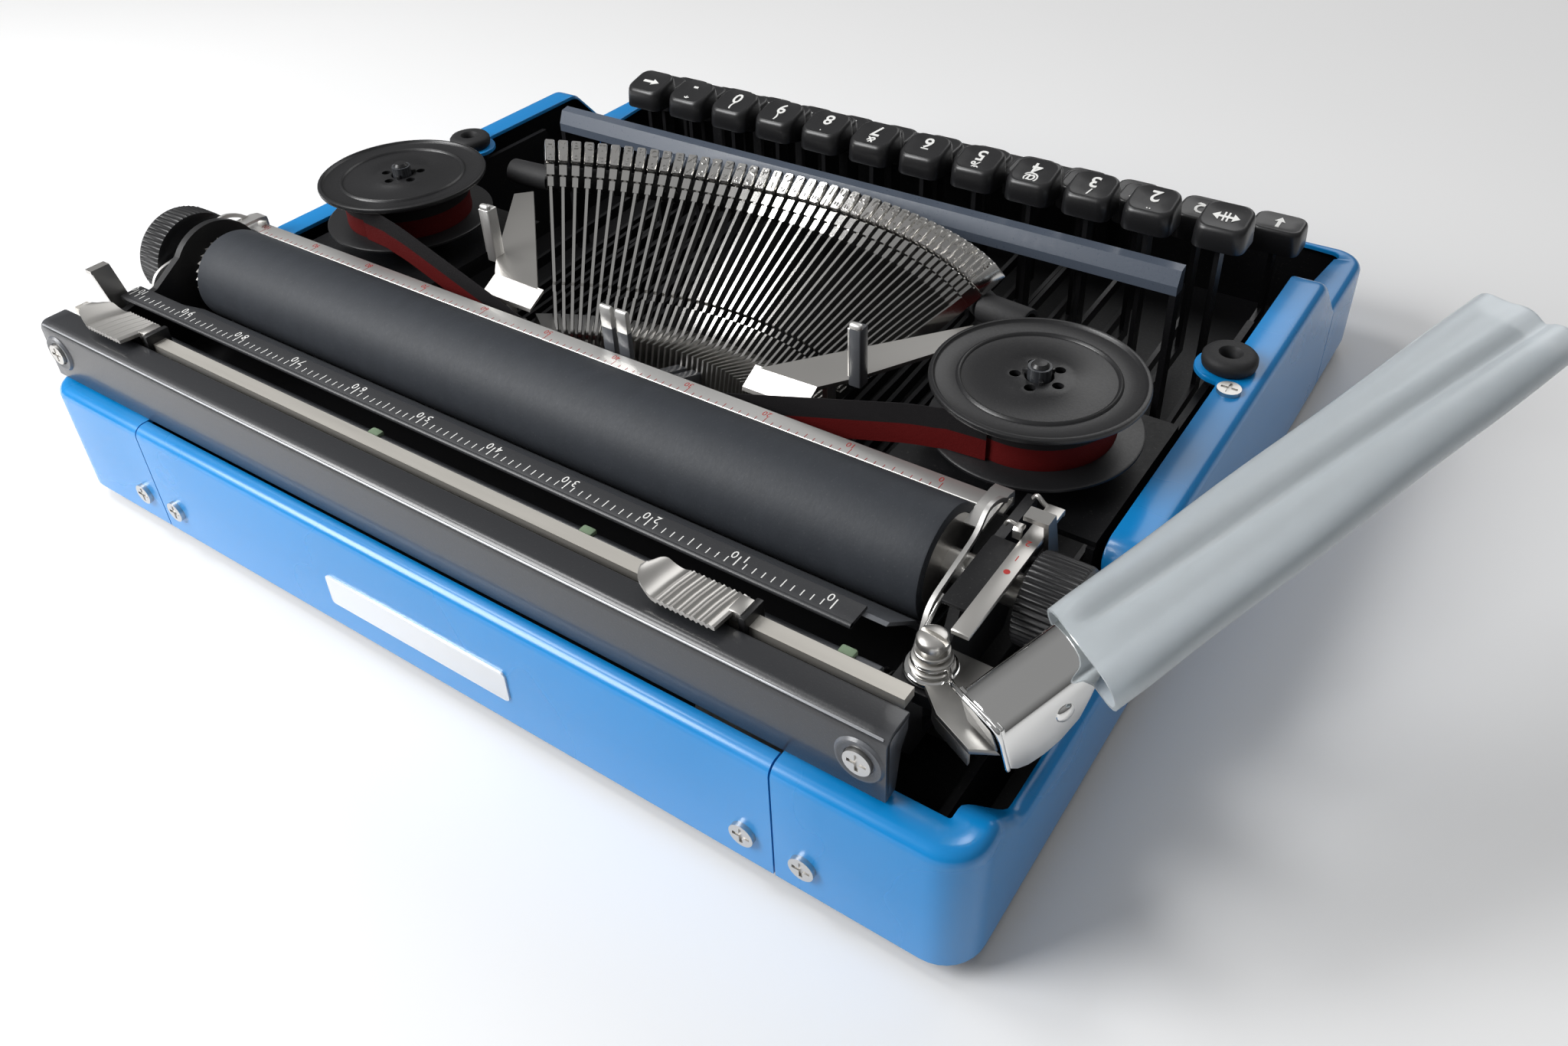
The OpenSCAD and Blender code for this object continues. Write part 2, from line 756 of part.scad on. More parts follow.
// Rail that the margin stops slide on
module margin_rail() {
    color(steel) block(car_x - stop_rail_left, car_x + stop_rail_right, stop_rail_d - stop_rail_w / 2,
                       stop_rail_d + stop_rail_w / 2, stop_rail_h, stop_rail_h + stop_rail_t);
}

// Margin stop: block round the rail with a bent thumb piece on top
module margin_stop(x) {
    half = stop_rail_w / 2;
    roof = stop_rail_h + stop_rail_t;
    color(chrome) difference() {
        union() {
            block(x - 8, x + 8, stop_rail_d - half - stop_wall - slip, stop_rail_d + half + 2,
                  stop_rail_h - 1.5, roof + 1.5);
            prism_x(x - stop_w / 2, x + stop_w / 2, [[stop_rail_d + half + 2, roof + 1], [9, roof + 3.6],
                [9, roof + 4.6], [stop_rail_d + half + 2, roof + 2.4]]);
        }
        block(x - stop_w, x + stop_w, stop_rail_d - half - slip, stop_rail_d + half + slip,
              stop_rail_h - 5, roof + slip);
    }
}

module left_margin_stop() { margin_stop(left_stop_x); }

module right_margin_stop() { margin_stop(right_stop_x); }

// Curved paper table under the platen, with a flange up to the scale and two feet
module paper_table() {
    inner = platen_r + table_gap;
    outer = inner + table_t;
    half = platen_len / 2;
    reach = 60;
    edge = [for (r = [inner, outer]) [platen_d - r * cos(table_end), platen_h - r * sin(table_end)]];
    color(black) {
        translate([car_x - half, yy(platen_d), zz(platen_h)]) rotate([90, 0, 90]) linear_extrude(2 * half)
            intersection() {
                difference() {
                    circle(r = outer, $fn = 96);
                    circle(r = inner, $fn = 96);
                }
                polygon([[0, 0], reach * [cos(table_end), -sin(table_end)], [reach, -reach], [-8, -reach]]);
            }
        for (s = [-1, 1]) block(car_x + s * 60 - 3, car_x + s * 60 + 3, platen_d - 6, platen_d + 2, bed_top,
                                platen_h - inner - table_t / 2);
        prism_x(car_x - half, car_x + half, [edge[0] + [0.2, -0.5], edge[0], [scale_front - 1, scale_h],
            [scale_front - 2.4, scale_h], edge[1], edge[1] + [0.2, -0.5]]);
    }
}

// Graduated strip behind the platen
module paper_scale() {
    color(black) block(scale_left, scale_right, scale_back, scale_front, scale_h, scale_h + scale_t);
}

// Two cross-slotted screws that hold the rear cover
module carriage_screws() {
    color(chrome) for (s = [-1, 1])
        translate([car_x + s * (cover_len / 2 - 6), yy(cover_back), zz(46)]) rotate([-90, 0, 0])
            slotted_head(screw_r, screw_head);
}

// Flat strip on the left end plate with the line-space marks
module line_space_plate() {
    color(steel) block(left_plate - 7, left_plate + plate_t, 38, 83, strip_h, strip_h + strip_t);
}

// Large slotted screw and washers that carry the return lever
module pivot_screw() {
    top = lever_base_h + lever_t + slip;
    color(chrome) difference() {
        union() {
            rod_z(lever_x, lever_d, 40, top + eps, lever_pin - run_fit);
            rod_z(lever_x, lever_d, top, top + 1, 5.6);
            rod_z(lever_x, lever_d, top, top + 5, 3.2);
            rod_z(lever_x, lever_d, top + 2, top + 3, 5);
            rod_z(lever_x, lever_d, top + 5, top + 9, 4.4);
        }
        block(lever_x - 0.6, lever_x + 0.6, lever_d - 6, lever_d + 6, top + 7, top + 10);
    }
}

// Points of the little coil spring about X, and the rings of wire round them
function coil_at(i) = let (a = 45 * i) [coil_pitch * i / 8, coil_r * cos(a), coil_r * sin(a)];
coil_rings = 8 * coil_turns;
coil_gap = min([for (i = [0:coil_rings - 8], j = [i + 5:min(i + 11, coil_rings)])
    norm(coil_at(i) - coil_at(j))]) - 2 * wire_r;
function coil_ring(i) = let (a = 45 * i, p = coil_at(i))
    [for (k = [0:5]) p + wire_r * [cos(60 * k) * 1, sin(60 * k) * cos(a), sin(60 * k) * sin(a)]];

// Small return spring on a pin inside the left end plate
module coil_spring() {
    points = [for (i = [0:coil_rings]) each coil_ring(i)];
    sides = [for (i = [0:coil_rings - 1], k = [0:5]) let (a = 6 * i + k, b = 6 * i + (k + 1) % 6)
        each [[a, b, b + 6], [a, b + 6, a + 6]]];
    last = 6 * coil_rings;
    caps = [for (k = [1:4]) each [[0, k + 1, k], [last, last + k, last + k + 1]]];
    echo(coil_spring_least_gap = coil_gap);
    color(black) translate([left_plate + plate_t + 1.5, yy(coil_d), zz(coil_h)])
        polyhedron(points, concat(sides, caps));
}

// Rubber of the platen
module platen_roller() {
    half = platen_len / 2;
    color(rubber) difference() {
        rod_x(car_x - half, car_x + half, platen_d, platen_h, platen_r);
        rod_x(car_x - half - 1, car_x + half + 1, platen_d, platen_h, core_r + run_fit);
    }
}

// Platen core with the long shaft and the line-space ratchet
module platen_shaft() {
    half = platen_len / 2;
    teeth = 30;
    ratchet = platen_r - 2;
    color(steel) {
        rod_x(car_x - half, car_x + half, platen_d, platen_h, core_r);
        rod_x(left_plate - 22, right_plate + plate_t + 19, platen_d, platen_h, shaft_r);
        translate([car_x + half + 0.5, yy(platen_d), zz(platen_h)]) rotate([90, 0, 90]) linear_extrude(3)
            polygon([for (i = [0:teeth - 1]) each [ratchet * [cos(360 * i / teeth), sin(360 * i / teeth)],
                (ratchet - 1.4) * [cos(360 * (i + 0.8) / teeth), sin(360 * (i + 0.8) / teeth)]]]);
    }
}

// Knurled knobs at both ends of the platen
module platen_knobs() {
    color(black) {
        knob(right_plate + plate_t + 8, right_plate + plate_t + 18.5, knob_r, 60);
        knob(left_plate - 21, left_plate - 9, left_knob_r, 44);
    }
}

module knob(x0, x1, r, ridges) {
    translate([x0, yy(platen_d), zz(platen_h)]) rotate([90, 0, 90]) difference() {
        linear_extrude(x1 - x0) polygon([for (i = [0:2 * ridges - 1])
            (i % 2 == 0 ? r : r - 0.6) * [cos(180 * i / ridges), sin(180 * i / ridges)]]);
        translate([0, 0, -1]) cylinder(r = shaft_r + run_fit, h = x1 - x0 + 2);
    }
}

// Three rubber rollers on one shaft that press the paper to the platen
module feed_rollers() {
    color(rubber) {
        rod_x(car_x - bearing_x - 6, car_x + bearing_x + 6, roller_d, roller_h, roller_shaft_r);
        for (x = [-70, 0, 70]) rod_x(car_x + x - 24, car_x + x + 24, roller_d, roller_h, roller_r);
    }
}

// Graduated bail strip on two arms that swing up from the rear of the end plates
module paper_bail() {
    color(steel) {
        block(bail_left, bail_right + bail_t, bail_front, bail_front + bail_strip_w, bail_strip_h,
              bail_strip_h + 1);
        for (x = [bail_left, bail_right]) difference() {
            union() {
                for (i = [0:len(bail_path) - 2]) bail_link(x, bail_path[i], bail_path[i + 1]);
                rod_x(x, x + bail_t, bail_d, bail_h, 3);
                block(x, x + bail_t, bail_front, bail_front + bail_strip_w, bail_strip_h, bail_strip_h + 3.5);
            }
            rod_x(x - 1, x + bail_t + 1, bail_d, bail_h, bail_pin + run_fit);
        }
    }
}

// Straight piece of a bail arm with round ends
module bail_link(x, from, to) {
    run = [to[0] - from[0], to[1] - from[1]];
    side = 1.1 * [-run[1], run[0]] / norm(run);
    prism_x(x, x + bail_t, [from + side, to + side, to - side, from - side]);
    rod_x(x, x + bail_t, to[0], to[1], 1.1);
}

// Frame of the lever's arm: run along -Y, top face at Z = 0
module lever_arm() {
    translate([lever_root[0], yy(lever_root[1]), zz(lever_root[2])]) rotate([0, 0, -lever_yaw])
        rotate([-lever_rise, 0, 0]) children();
}

// Carriage return lever: base plate round the pivot, folded box and channel arm
module return_lever() {
    half = lever_w / 2;
    foot = [[lever_x + 3, 38], [lever_x - 2, 25], [-138, 15], [-146, 12], [-160, 22], [-155, 38]];
    outer_tab = [[-1.5, 0], [-1.5, -15], [-8, -17], [-17, -14.5], [-22.5, -7], [-23.3, 0]];
    inner_tab = [[-1.5, 0], [-1.5, -13.5], [-8, -13.5], [-16, -8], [-19, 0]];
    color(chrome) {
        difference() {
            union() {
                translate([0, 0, zz(lever_base_h)]) linear_extrude(lever_t)
                    polygon([for (p = foot) [p[0], yy(p[1])]]);
                rod_z(lever_x, lever_d, lever_base_h, lever_base_h + lever_t, lever_boss);
            }
            rod_z(lever_x, lever_d, lever_base_h - 1, lever_base_h + 4, lever_pin);
        }
        lever_arm() {
            translate([-half, -lever_len, -1.2]) cube([lever_w, lever_len, 1.2]);
            for (x = [-half, half - 1.2]) {
                translate([x, -lever_len, -lever_depth]) cube([1.2, lever_len, lever_depth]);
                translate([x, 0, 0]) rotate([90, 0, 90]) linear_extrude(1.2)
                    polygon(x < 0 ? outer_tab : inner_tab);
            }
        }
    }
}

// Flattened plastic tube over the lever's arm
module lever_sleeve() {
    color(clear) lever_arm() translate([-(sleeve_w - lever_w) / 4, -sleeve_from, -lever_depth / 2])
        rotate([90, 0, 0]) linear_extrude(sleeve_to - sleeve_from) difference() {
            flat_oval(sleeve_w, sleeve_t);
            flat_oval(sleeve_w - 2 * sleeve_wall, sleeve_t - 2 * sleeve_wall);
        }
}

module flat_oval(w, t) {
    square([w - t, t], center = true);
    for (s = [-1, 1]) translate([s * (w - t) / 2, 0]) circle(d = t);
}

// Line-space selector on the outside of the left end plate
module line_selector() {
    x0 = left_plate - 8.6;
    color(chrome) difference() {
        union() {
            rod_x(x0, x0 + 1.2, selector_d, selector_h, 4);
            prism_x(x0, x0 + 1.2, [[selector_d - 3, selector_h], [selector_d + 3, selector_h],
                [72, 63.5], [68, 63.5]]);
            block(x0, x0 + 6, 68, 72, 62.3, 63.5);
        }
        rod_x(x0 - 1, x0 + 3, selector_d, selector_h, small_pin + run_fit);
    }
}

// Paper release lever on the outside of the right end plate
module release_lever() {
    x0 = right_plate + plate_t + 2;
    color(chrome) difference() {
        union() {
            rod_x(x0, x0 + 1.2, release_d, release_h, 4);
            prism_x(x0, x0 + 1.2, [[release_d - 3, release_h], [release_d + 3, release_h],
                [29, 64], [23, 64]]);
            block(x0, x0 + 3, 23, 29, 62.8, 64);
        }
        rod_x(x0 - 1, x0 + 3, release_d, release_h, small_pin + run_fit);
    }
}

// Key lever of one key: eye on the key shaft, long arm under the basket and stem up to the cap
module key_arm(x, d, top) {
    arm = [[key_shaft_d, key_shaft_h - lever_half], [130, key_shaft_h - lever_half - 0.2], [d - 10, 12.4],
           [d + stem_half, 12.8], [d + stem_half, top], [d - stem_half, top], [d - stem_half, 17],
           [d - 12, 16.4], [130, key_shaft_h + lever_half], [key_shaft_d, key_shaft_h + lever_half]];
    difference() {
        union() {
            prism_x(x - key_lever_t / 2, x + key_lever_t / 2, arm);
            rod_x(x - key_lever_t / 2, x + key_lever_t / 2, key_shaft_d, key_shaft_h, eye_r);
        }
        rod_x(x - key_lever_t, x + key_lever_t, key_shaft_d, key_shaft_h, key_shaft_r + run_fit);
    }
}

// Cap on its lever, in a row counted from the number row
module key(x, row, w) {
    d = row_d + row * row_step;
    top = row_h - row * row_drop;
    color(black) {
        key_arm(x, d, top - cap_t + eps);
        translate([x, yy(d), zz(top - cap_t)]) linear_extrude(cap_t) rounded(w, key_d, cap_r);
    }
}

module number_key(i) { key(key_x + i * key_pitch, 0, key_w); }

module key_row(x, count, row) { for (i = [0:count - 1]) key(x + i * key_pitch, row, key_w); }

// Both shift keys, joined behind the key shaft
module shift_keys() {
    key(shift_left, 3, key_w + 2);
    key(shift_right, 3, key_w + 2);
    color(black) {
        rod_x(shift_left - key_lever_t / 2, shift_right + key_lever_t / 2, shift_rod_d, key_shaft_h,
              shift_rod_r);
        for (x = [shift_left, shift_right]) block(x - key_lever_t / 2, x + key_lever_t / 2, shift_rod_d,
            key_shaft_d - key_shaft_r - 1, key_shaft_h - 1, key_shaft_h + 1);
    }
}

// Space bar on two levers
module space_bar() {
    color(black) {
        for (x = space_arms) key_arm(x, space_d, space_h - space_t + eps);
        translate([0, yy(space_d), zz(space_h - space_t)]) linear_extrude(space_t)
            rounded(space_w + 10, space_depth, cap_r);
    }
}

base_frame();
left_side_shell();
right_side_shell();
rear_panel();
front_apron();
rubber_feet();
cover_grommets();
body_screws();
carriage_rail();
spool_spindles();
type_rest_bar();
ribbon();
key_shaft();
spring_drum();
segment();
typebars();
moving_typebar();
type_rest();
wing_plates();
ribbon_guides();
left_spool();
right_spool();
carriage_frame();
rear_cover();
margin_rail();
paper_table();
paper_scale();
carriage_screws();
line_space_plate();
pivot_screw();
coil_spring();
left_margin_stop();
right_margin_stop();
platen_roller();
platen_shaft();
platen_knobs();
feed_rollers();
paper_bail();
return_lever();
lever_sleeve();
line_selector();
release_lever();
key(margin_x, 0, key_w);  // margin_release_key
number_key(0);  // key_2
number_key(1);  // key_3
number_key(2);  // key_4
number_key(3);  // key_5
number_key(4);  // key_6
number_key(5);  // key_7
number_key(6);  // key_8
number_key(7);  // key_9
number_key(8);  // key_0
number_key(9);  // hyphen_key
number_key(10);  // backspace_key
key_row(second_x, second_n, 1);  // upper_row_keys
key_row(home_x, home_n, 2);  // home_row_keys
key_row(bottom_x, bottom_n, 3);  // bottom_row_keys
shift_keys();
key(lock_x, 2, key_w);  // shift_lock
space_bar();
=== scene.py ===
import math

import bmesh
import bpy
from mathutils import Matrix, Vector


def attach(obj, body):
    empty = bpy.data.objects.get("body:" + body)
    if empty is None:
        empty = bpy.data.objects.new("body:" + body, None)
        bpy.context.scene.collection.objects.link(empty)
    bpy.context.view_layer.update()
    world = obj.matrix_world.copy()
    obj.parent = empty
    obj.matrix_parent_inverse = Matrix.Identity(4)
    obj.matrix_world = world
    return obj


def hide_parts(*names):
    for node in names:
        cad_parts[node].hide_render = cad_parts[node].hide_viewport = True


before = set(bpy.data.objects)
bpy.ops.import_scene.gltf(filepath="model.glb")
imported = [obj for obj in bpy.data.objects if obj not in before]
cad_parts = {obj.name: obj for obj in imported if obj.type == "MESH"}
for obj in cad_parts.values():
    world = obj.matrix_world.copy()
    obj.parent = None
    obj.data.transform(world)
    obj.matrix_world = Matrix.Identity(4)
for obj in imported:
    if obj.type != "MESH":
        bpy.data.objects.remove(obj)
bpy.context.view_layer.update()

# Lengths are millimetres until a piece is made. Places are given as X, the distance d in front of the
# rear wall and the height h above the underside of the body, as in the part's source.
MM = 0.001
REAR = 146.0
FOOT = 5.0
TAU = 2 * math.pi


def P(x, d, h):
    """Point of the shared frame from X, d and h."""
    return Vector((x, REAR - d, FOOT + h))


def lerp(a, b, t):
    return a + (b - a) * t


def line_at(points, x):
    """Height of a polyline at x."""
    if x <= points[0][0]:
        return points[0][1]
    for (a, b), (c, d) in zip(points, points[1:]):
        if x <= c:
            return lerp(b, d, (x - a) / (c - a))
    return points[-1][1]


def spread(a, b, n):
    """Evenly spaced numbers from a to b."""
    return [lerp(a, b, i / (n - 1)) for i in range(n)]


def hump(v, mid, width):
    """Smooth hump of height one."""
    return math.exp(-((v - mid) / width) ** 2)


def turned(at, angle, axis="Z"):
    """Frame at a point, turned by an angle."""
    return Matrix.Translation(at) @ Matrix.Rotation(angle, 4, axis)


def spline(points, per=8):
    """Smooth curve through points."""
    pts = [Vector(p) for p in points]
    pts = [2 * pts[0] - pts[1]] + pts + [2 * pts[-1] - pts[-2]]
    out = []
    for i in range(1, len(pts) - 2):
        a, b, c, d = pts[i - 1:i + 3]
        for k in range(per):
            t = k / per
            out.append(0.5 * (2 * b + (c - a) * t + (2 * a - 5 * b + 4 * c - d) * t * t
                              + (3 * b - a - 3 * c + d) * t ** 3))
    out.append(pts[-2])
    return out


def round_rect(w, d, r, n=6):
    """Corner-rounded rectangle round the middle, as x, y pairs."""
    r = min(r, w / 2 - 0.01, d / 2 - 0.01)
    out = []
    for k, (sx, sy) in enumerate(((1, 1), (-1, 1), (-1, -1), (1, -1))):
        for i in range(n + 1):
            a = (k + i / n) * TAU / 4
            out.append((sx * (w / 2 - r) + r * math.cos(a), sy * (d / 2 - r) + r * math.sin(a)))
    return out


class Build:
    """Collects closed forms of one piece."""

    def __init__(self):
        self.verts, self.faces, self.mats = [], [], []

    def add(self, verts, faces, mat=0):
        base = len(self.verts)
        self.verts += [Vector(v) for v in verts]
        self.faces += [[base + i for i in f] for f in faces]
        self.mats += [mat] * len(faces)

    def join(self, form, frame_):
        """Takes in another collected form, placed by a frame."""
        self.add([frame_ @ v for v in form.verts], form.faces)

    def loft(self, rings, mat=0, loop=False):
        """Skin over rings of points, closed at both ends or run round as a loop."""
        n, count = len(rings[0]), len(rings)
        faces = []
        for i in range(count if loop else count - 1):
            a, b = i * n, (i + 1) % count * n
            for k in range(n):
                j = (k + 1) % n
                faces.append([a + k, a + j, b + j, b + k])
        if not loop:
            faces.append(list(range(n))[::-1])
            faces.append([(count - 1) * n + k for k in range(n)])
        self.add([v for r in rings for v in r], faces, mat)

    def tube(self, points, radius, sides=12, mat=0):
        """Round rod along points."""
        pts = [Vector(p) for p in points]
        rings, normal = [], None
        for i, p in enumerate(pts):
            tangent = (pts[min(i + 1, len(pts) - 1)] - pts[max(i - 1, 0)]).normalized()
            guess = normal
            if normal is None:
                guess = Vector((0, 0, 1)) if abs(tangent.z) < 0.9 else Vector((1, 0, 0))
            normal = (guess - tangent * guess.dot(tangent)).normalized()
            side = tangent.cross(normal)
            rings.append([p + (normal * math.cos(a) + side * math.sin(a)) * radius
                          for a in (TAU * k / sides for k in range(sides))])
        self.loft(rings, mat)

    def lathe(self, profile, origin, axis="z", seg=48, mat=0, loop=True, ridge=0, depth=0.0, ridged=()):
        """Turns a profile of radius and run round an axis. Profile points in ridged get fine ridges."""
        rings = []
        for i, (r, t) in enumerate(profile):
            ring = []
            for k in range(seg):
                a = TAU * k / seg
                q = r + (depth * (math.cos(ridge * a) - 1) / 2 if i in ridged else 0)
                c, s = q * math.cos(a), q * math.sin(a)
                v = {"z": (c, s, t), "x": (t, c, s), "y": (c, t, s)}[axis]
                ring.append(Vector(origin) + Vector(v))
            rings.append(ring)
        self.loft(rings, mat, loop)

    def prism(self, outline, a, b, mat=0):
        """Outline of d, h pairs, drawn out along X from a to b."""
        self.loft([[P(x, d, h) for d, h in outline] for x in (a, b)], mat)

    def slab(self, outline, low, high, mat=0):
        """Outline of x, d pairs, drawn up from one height to another."""
        self.loft([[P(x, d, h) for x, d in outline] for h in (low, high)], mat)

    def box(self, lo, hi, mat=0, edge=0.0, frame_=Matrix.Identity(4)):
        """Box between two corners with eased edges, in X, Y, Z or in a given frame."""
        bm = bmesh.new()
        bmesh.ops.create_cube(bm, size=1)
        for v in bm.verts:
            v.co = Vector([l + (h - l) * (c + 0.5) for l, h, c in zip(lo, hi, v.co)])
        if edge:
            bmesh.ops.bevel(bm, geom=bm.edges[:], offset=edge, segments=2, profile=0.5, affect="EDGES")
        bm.verts.index_update()
        self.add([frame_ @ v.co for v in bm.verts], [[v.index for v in f.verts] for f in bm.faces], mat)
        bm.free()

    def block(self, x, d, h, mat=0, edge=0.3):
        """Box with eased edges between pairs of X, d and h."""
        self.box(P(x[0], d[1], h[0]), P(x[1], d[0], h[1]), mat, edge)

    def text(self, words, size, frame_, mat=0, thick=0.04, bold=0.0):
        verts, faces = letters(words, bold)
        self.add([frame_ @ Vector((v[0] * size, v[1] * size, v[2] * thick)) for v in verts], faces, mat)

    def flat(self, outline, frame_, thick=0.04, mat=0):
        """Thin plate of x, y pairs in a frame."""
        self.loft([[frame_ @ Vector((x, y, z)) for x, y in outline] for z in (-0.02, thick)], mat)

    def make(self, name, mats, body, slot, replaces=(), angle=38.0, bevel=0.0, cut=None):
        """Makes the piece, with its finish, its body and the nodes that it stands for. The slot is not used.
        """
        ob = placed(name, closed_mesh(name, self, mats if hasattr(mats, "__len__") else [mats]))
        if cut:
            subtract(ob, cut)
        if bevel:
            mod = ob.modifiers.new("edge", "BEVEL")
            mod.width, mod.segments, mod.limit_method = bevel * MM, 2, "ANGLE"
            mod.angle_limit = math.radians(angle)
            bake(ob)
        for p in ob.data.polygons:
            p.use_smooth = True
        ob.data.set_sharp_from_angle(angle=math.radians(angle))
        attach(ob, body)
        if replaces:
            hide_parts(*replaces)
        return ob


def placed(name, data):
    """New object in the scene."""
    ob = bpy.data.objects.new(name, data)
    bpy.context.scene.collection.objects.link(ob)
    return ob


def closed_mesh(name, form, mats=()):
    """Mesh of a collected form in metres, with its faces turned outwards."""
    me = bpy.data.meshes.new(name)
    me.from_pydata([v * MM for v in form.verts], [], form.faces)
    for m in mats:
        me.materials.append(m)
    for p, k in zip(me.polygons, form.mats):
        p.material_index = k
    bm = bmesh.new()
    bm.from_mesh(me)
    bmesh.ops.recalc_face_normals(bm, faces=bm.faces[:])
    bm.to_mesh(me)
    bm.free()
    return me


def final_mesh(ob):
    """Mesh of an object with its modifiers taken in."""
    graph = bpy.context.evaluated_depsgraph_get()
    return bpy.data.meshes.new_from_object(ob.evaluated_get(graph))


def bake(ob):
    me = final_mesh(ob)
    ob.modifiers.clear()
    ob.data = me


def subtract(ob, form):
    """Cuts a collected form out of an object."""
    cutter = placed("cutter", closed_mesh("cutter", form))
    mod = ob.modifiers.new("cut", "BOOLEAN")
    mod.object, mod.operation, mod.solver = cutter, "DIFFERENCE", "EXACT"
    bake(ob)
    bpy.data.objects.remove(cutter)


LETTERS = {}


def letters(words, bold):
    """Solid letters of unit height round the middle, one unit thick."""
    if (words, bold) not in LETTERS:
        cu = bpy.data.curves.new("letters", "FONT")
        cu.body, cu.size, cu.extrude, cu.resolution_u, cu.offset = words, 1.0, 0.5, 3, bold
        cu.align_x, cu.align_y = "CENTER", "CENTER"
        ob = placed("letters", cu)
        me = final_mesh(ob)
        LETTERS[words, bold] = [tuple(v.co) for v in me.vertices], [list(p.vertices) for p in me.polygons]
        bpy.data.objects.remove(ob)
    return LETTERS[words, bold]


# Materials

DUST_TINT = (0.55, 0.53, 0.5)
DUST_BAND = (0.66, 0.78)
EDGE_WEAR_AND_LIGHT_BAND = (0.53, 0.60)


def material(name, base, rough=0.4, metal=0.0, vary=0.10, broad=14.0, grain=900.0, bump=0.04, spread_=0.08,
             spec=0.5, coat=0.0, dust=0.0, stretch=(1, 1, 1), trans=0.0, edge_wear_and_light=0.0, edge_wear_and_light_tint=(0.5, 0.5, 0.5)):
    """Procedural finish: broad colour change, fine grain in gloss and bump, dust, and edges lightened as wear
    and as a painted highlight.
    """
    m = bpy.data.materials.new(name)
    m.use_nodes = True
    m.diffuse_color = (*base, 1)
    nodes, link = m.node_tree.nodes, m.node_tree.links.new
    sh = nodes["Principled BSDF"]
    where = nodes.new("ShaderNodeTexCoord")
    place = nodes.new("ShaderNodeMapping")
    place.inputs["Scale"].default_value = stretch
    link(where.outputs["Object"], place.inputs["Vector"])

    def noise(scale, detail):
        n = nodes.new("ShaderNodeTexNoise")
        n.inputs["Scale"].default_value, n.inputs["Detail"].default_value = scale, detail
        link(place.outputs["Vector"], n.inputs["Vector"])
        return n.outputs["Fac"]

    def ranged(value, band, low, high):
        n = nodes.new("ShaderNodeMapRange")
        n.inputs["From Min"].default_value, n.inputs["From Max"].default_value = band
        n.inputs["To Min"].default_value, n.inputs["To Max"].default_value = low, high
        link(value, n.inputs["Value"])
        return n.outputs["Result"]

    def mixed(share, above):
        n = nodes.new("ShaderNodeMix")
        n.data_type = "RGBA"
        n.inputs[7].default_value = (*above, 1)
        link(share, n.inputs[0])
        return n.inputs[6], n.outputs[2]

    big, fine = noise(broad, 3.0), noise(grain, 5.0)
    below, colour = mixed(big, [min(1.0, c * (1 + vary)) for c in base])
    below.default_value = (*[c * (1 - vary) for c in base], 1)
    if dust:
        below, over = mixed(ranged(noise(grain * 1.7, 1.0), DUST_BAND, 0.0, dust), DUST_TINT)
        link(colour, below)
        colour = over
    # Lighter tint on sharp edges: partly wear, partly a painted edge highlight.
    if edge_wear_and_light:
        edge = nodes.new("ShaderNodeNewGeometry").outputs["Pointiness"]
        below, over = mixed(ranged(edge, EDGE_WEAR_AND_LIGHT_BAND, 0.0, edge_wear_and_light), edge_wear_and_light_tint)
        link(colour, below)
        colour = over
    link(colour, sh.inputs["Base Color"])
    gloss = max(0.02, rough - spread_), min(1.0, rough + spread_)
    link(ranged(big if bump < 0.03 else fine, (0.0, 1.0), *gloss), sh.inputs["Roughness"])
    if bump:
        bp = nodes.new("ShaderNodeBump")
        bp.inputs["Strength"].default_value, bp.inputs["Distance"].default_value = bump, 0.0004
        link(fine, bp.inputs["Height"])
        link(bp.outputs["Normal"], sh.inputs["Normal"])
    sh.inputs["Metallic"].default_value = metal
    sh.inputs["Specular IOR Level"].default_value = spec
    sh.inputs["Coat Weight"].default_value = coat
    sh.inputs["Coat Roughness"].default_value = 0.12
    sh.inputs["Transmission Weight"].default_value = trans
    return m


# The edge tints below lighten sharp edges: partly wear, partly a painted edge highlight.
blue = material("blue_enamel", (0.002, 0.225, 0.58), 0.28, vary=0.05, grain=1400, bump=0.012, coat=0.25,
                edge_wear_and_light=0.35, edge_wear_and_light_tint=(0.10, 0.34, 0.72))
satin_black = material("satin_black_enamel", (0.030, 0.032, 0.036), 0.36, vary=0.12, grain=1900, bump=0.10,
                       coat=0.15, dust=0.10, edge_wear_and_light=0.5, edge_wear_and_light_tint=(0.20, 0.21, 0.23))
# Black of the base pan; also used as painted shade on the inner faces of the body skins.
pan_and_shade_black = material("pan_black_and_painted_shade", (0.006, 0.006, 0.007), 0.5, vary=0.2, bump=0.08, dust=0.05, spec=0.3)
steel = material("satin_steel", (0.52, 0.51, 0.49), 0.33, 1.0, vary=0.10, broad=40, grain=700, bump=0.05,
                 stretch=(1, 1, 4))
bright = material("nickel", (0.74, 0.73, 0.71), 0.17, 1.0, vary=0.06, grain=800, bump=0.02, spread_=0.06)
mirror = material("chrome", (0.80, 0.80, 0.79), 0.07, 1.0, vary=0.04, grain=300, bump=0.015, spread_=0.03)
rail_steel = material("brushed_rail", (0.78, 0.75, 0.69), 0.42, 0.85, vary=0.06, grain=500, bump=0.06,
                      stretch=(0.05, 1, 1))
satin_plate = material("satin_plate", (0.60, 0.585, 0.56), 0.34, 0.95, vary=0.04, broad=30, bump=0.012,
                       spread_=0.04)
aluminium = material("pale_strip", (0.80, 0.79, 0.77), 0.40, 0.85, vary=0.04, broad=30, bump=0.012,
                     spread_=0.04)
dull_steel = material("dull_steel", (0.25, 0.245, 0.235), 0.40, 0.95, vary=0.08, broad=30, bump=0.02,
                      spread_=0.06)
rubber = material("soft_rubber", (0.018, 0.018, 0.019), 0.62, vary=0.2, grain=1500, bump=0.15, spec=0.35)
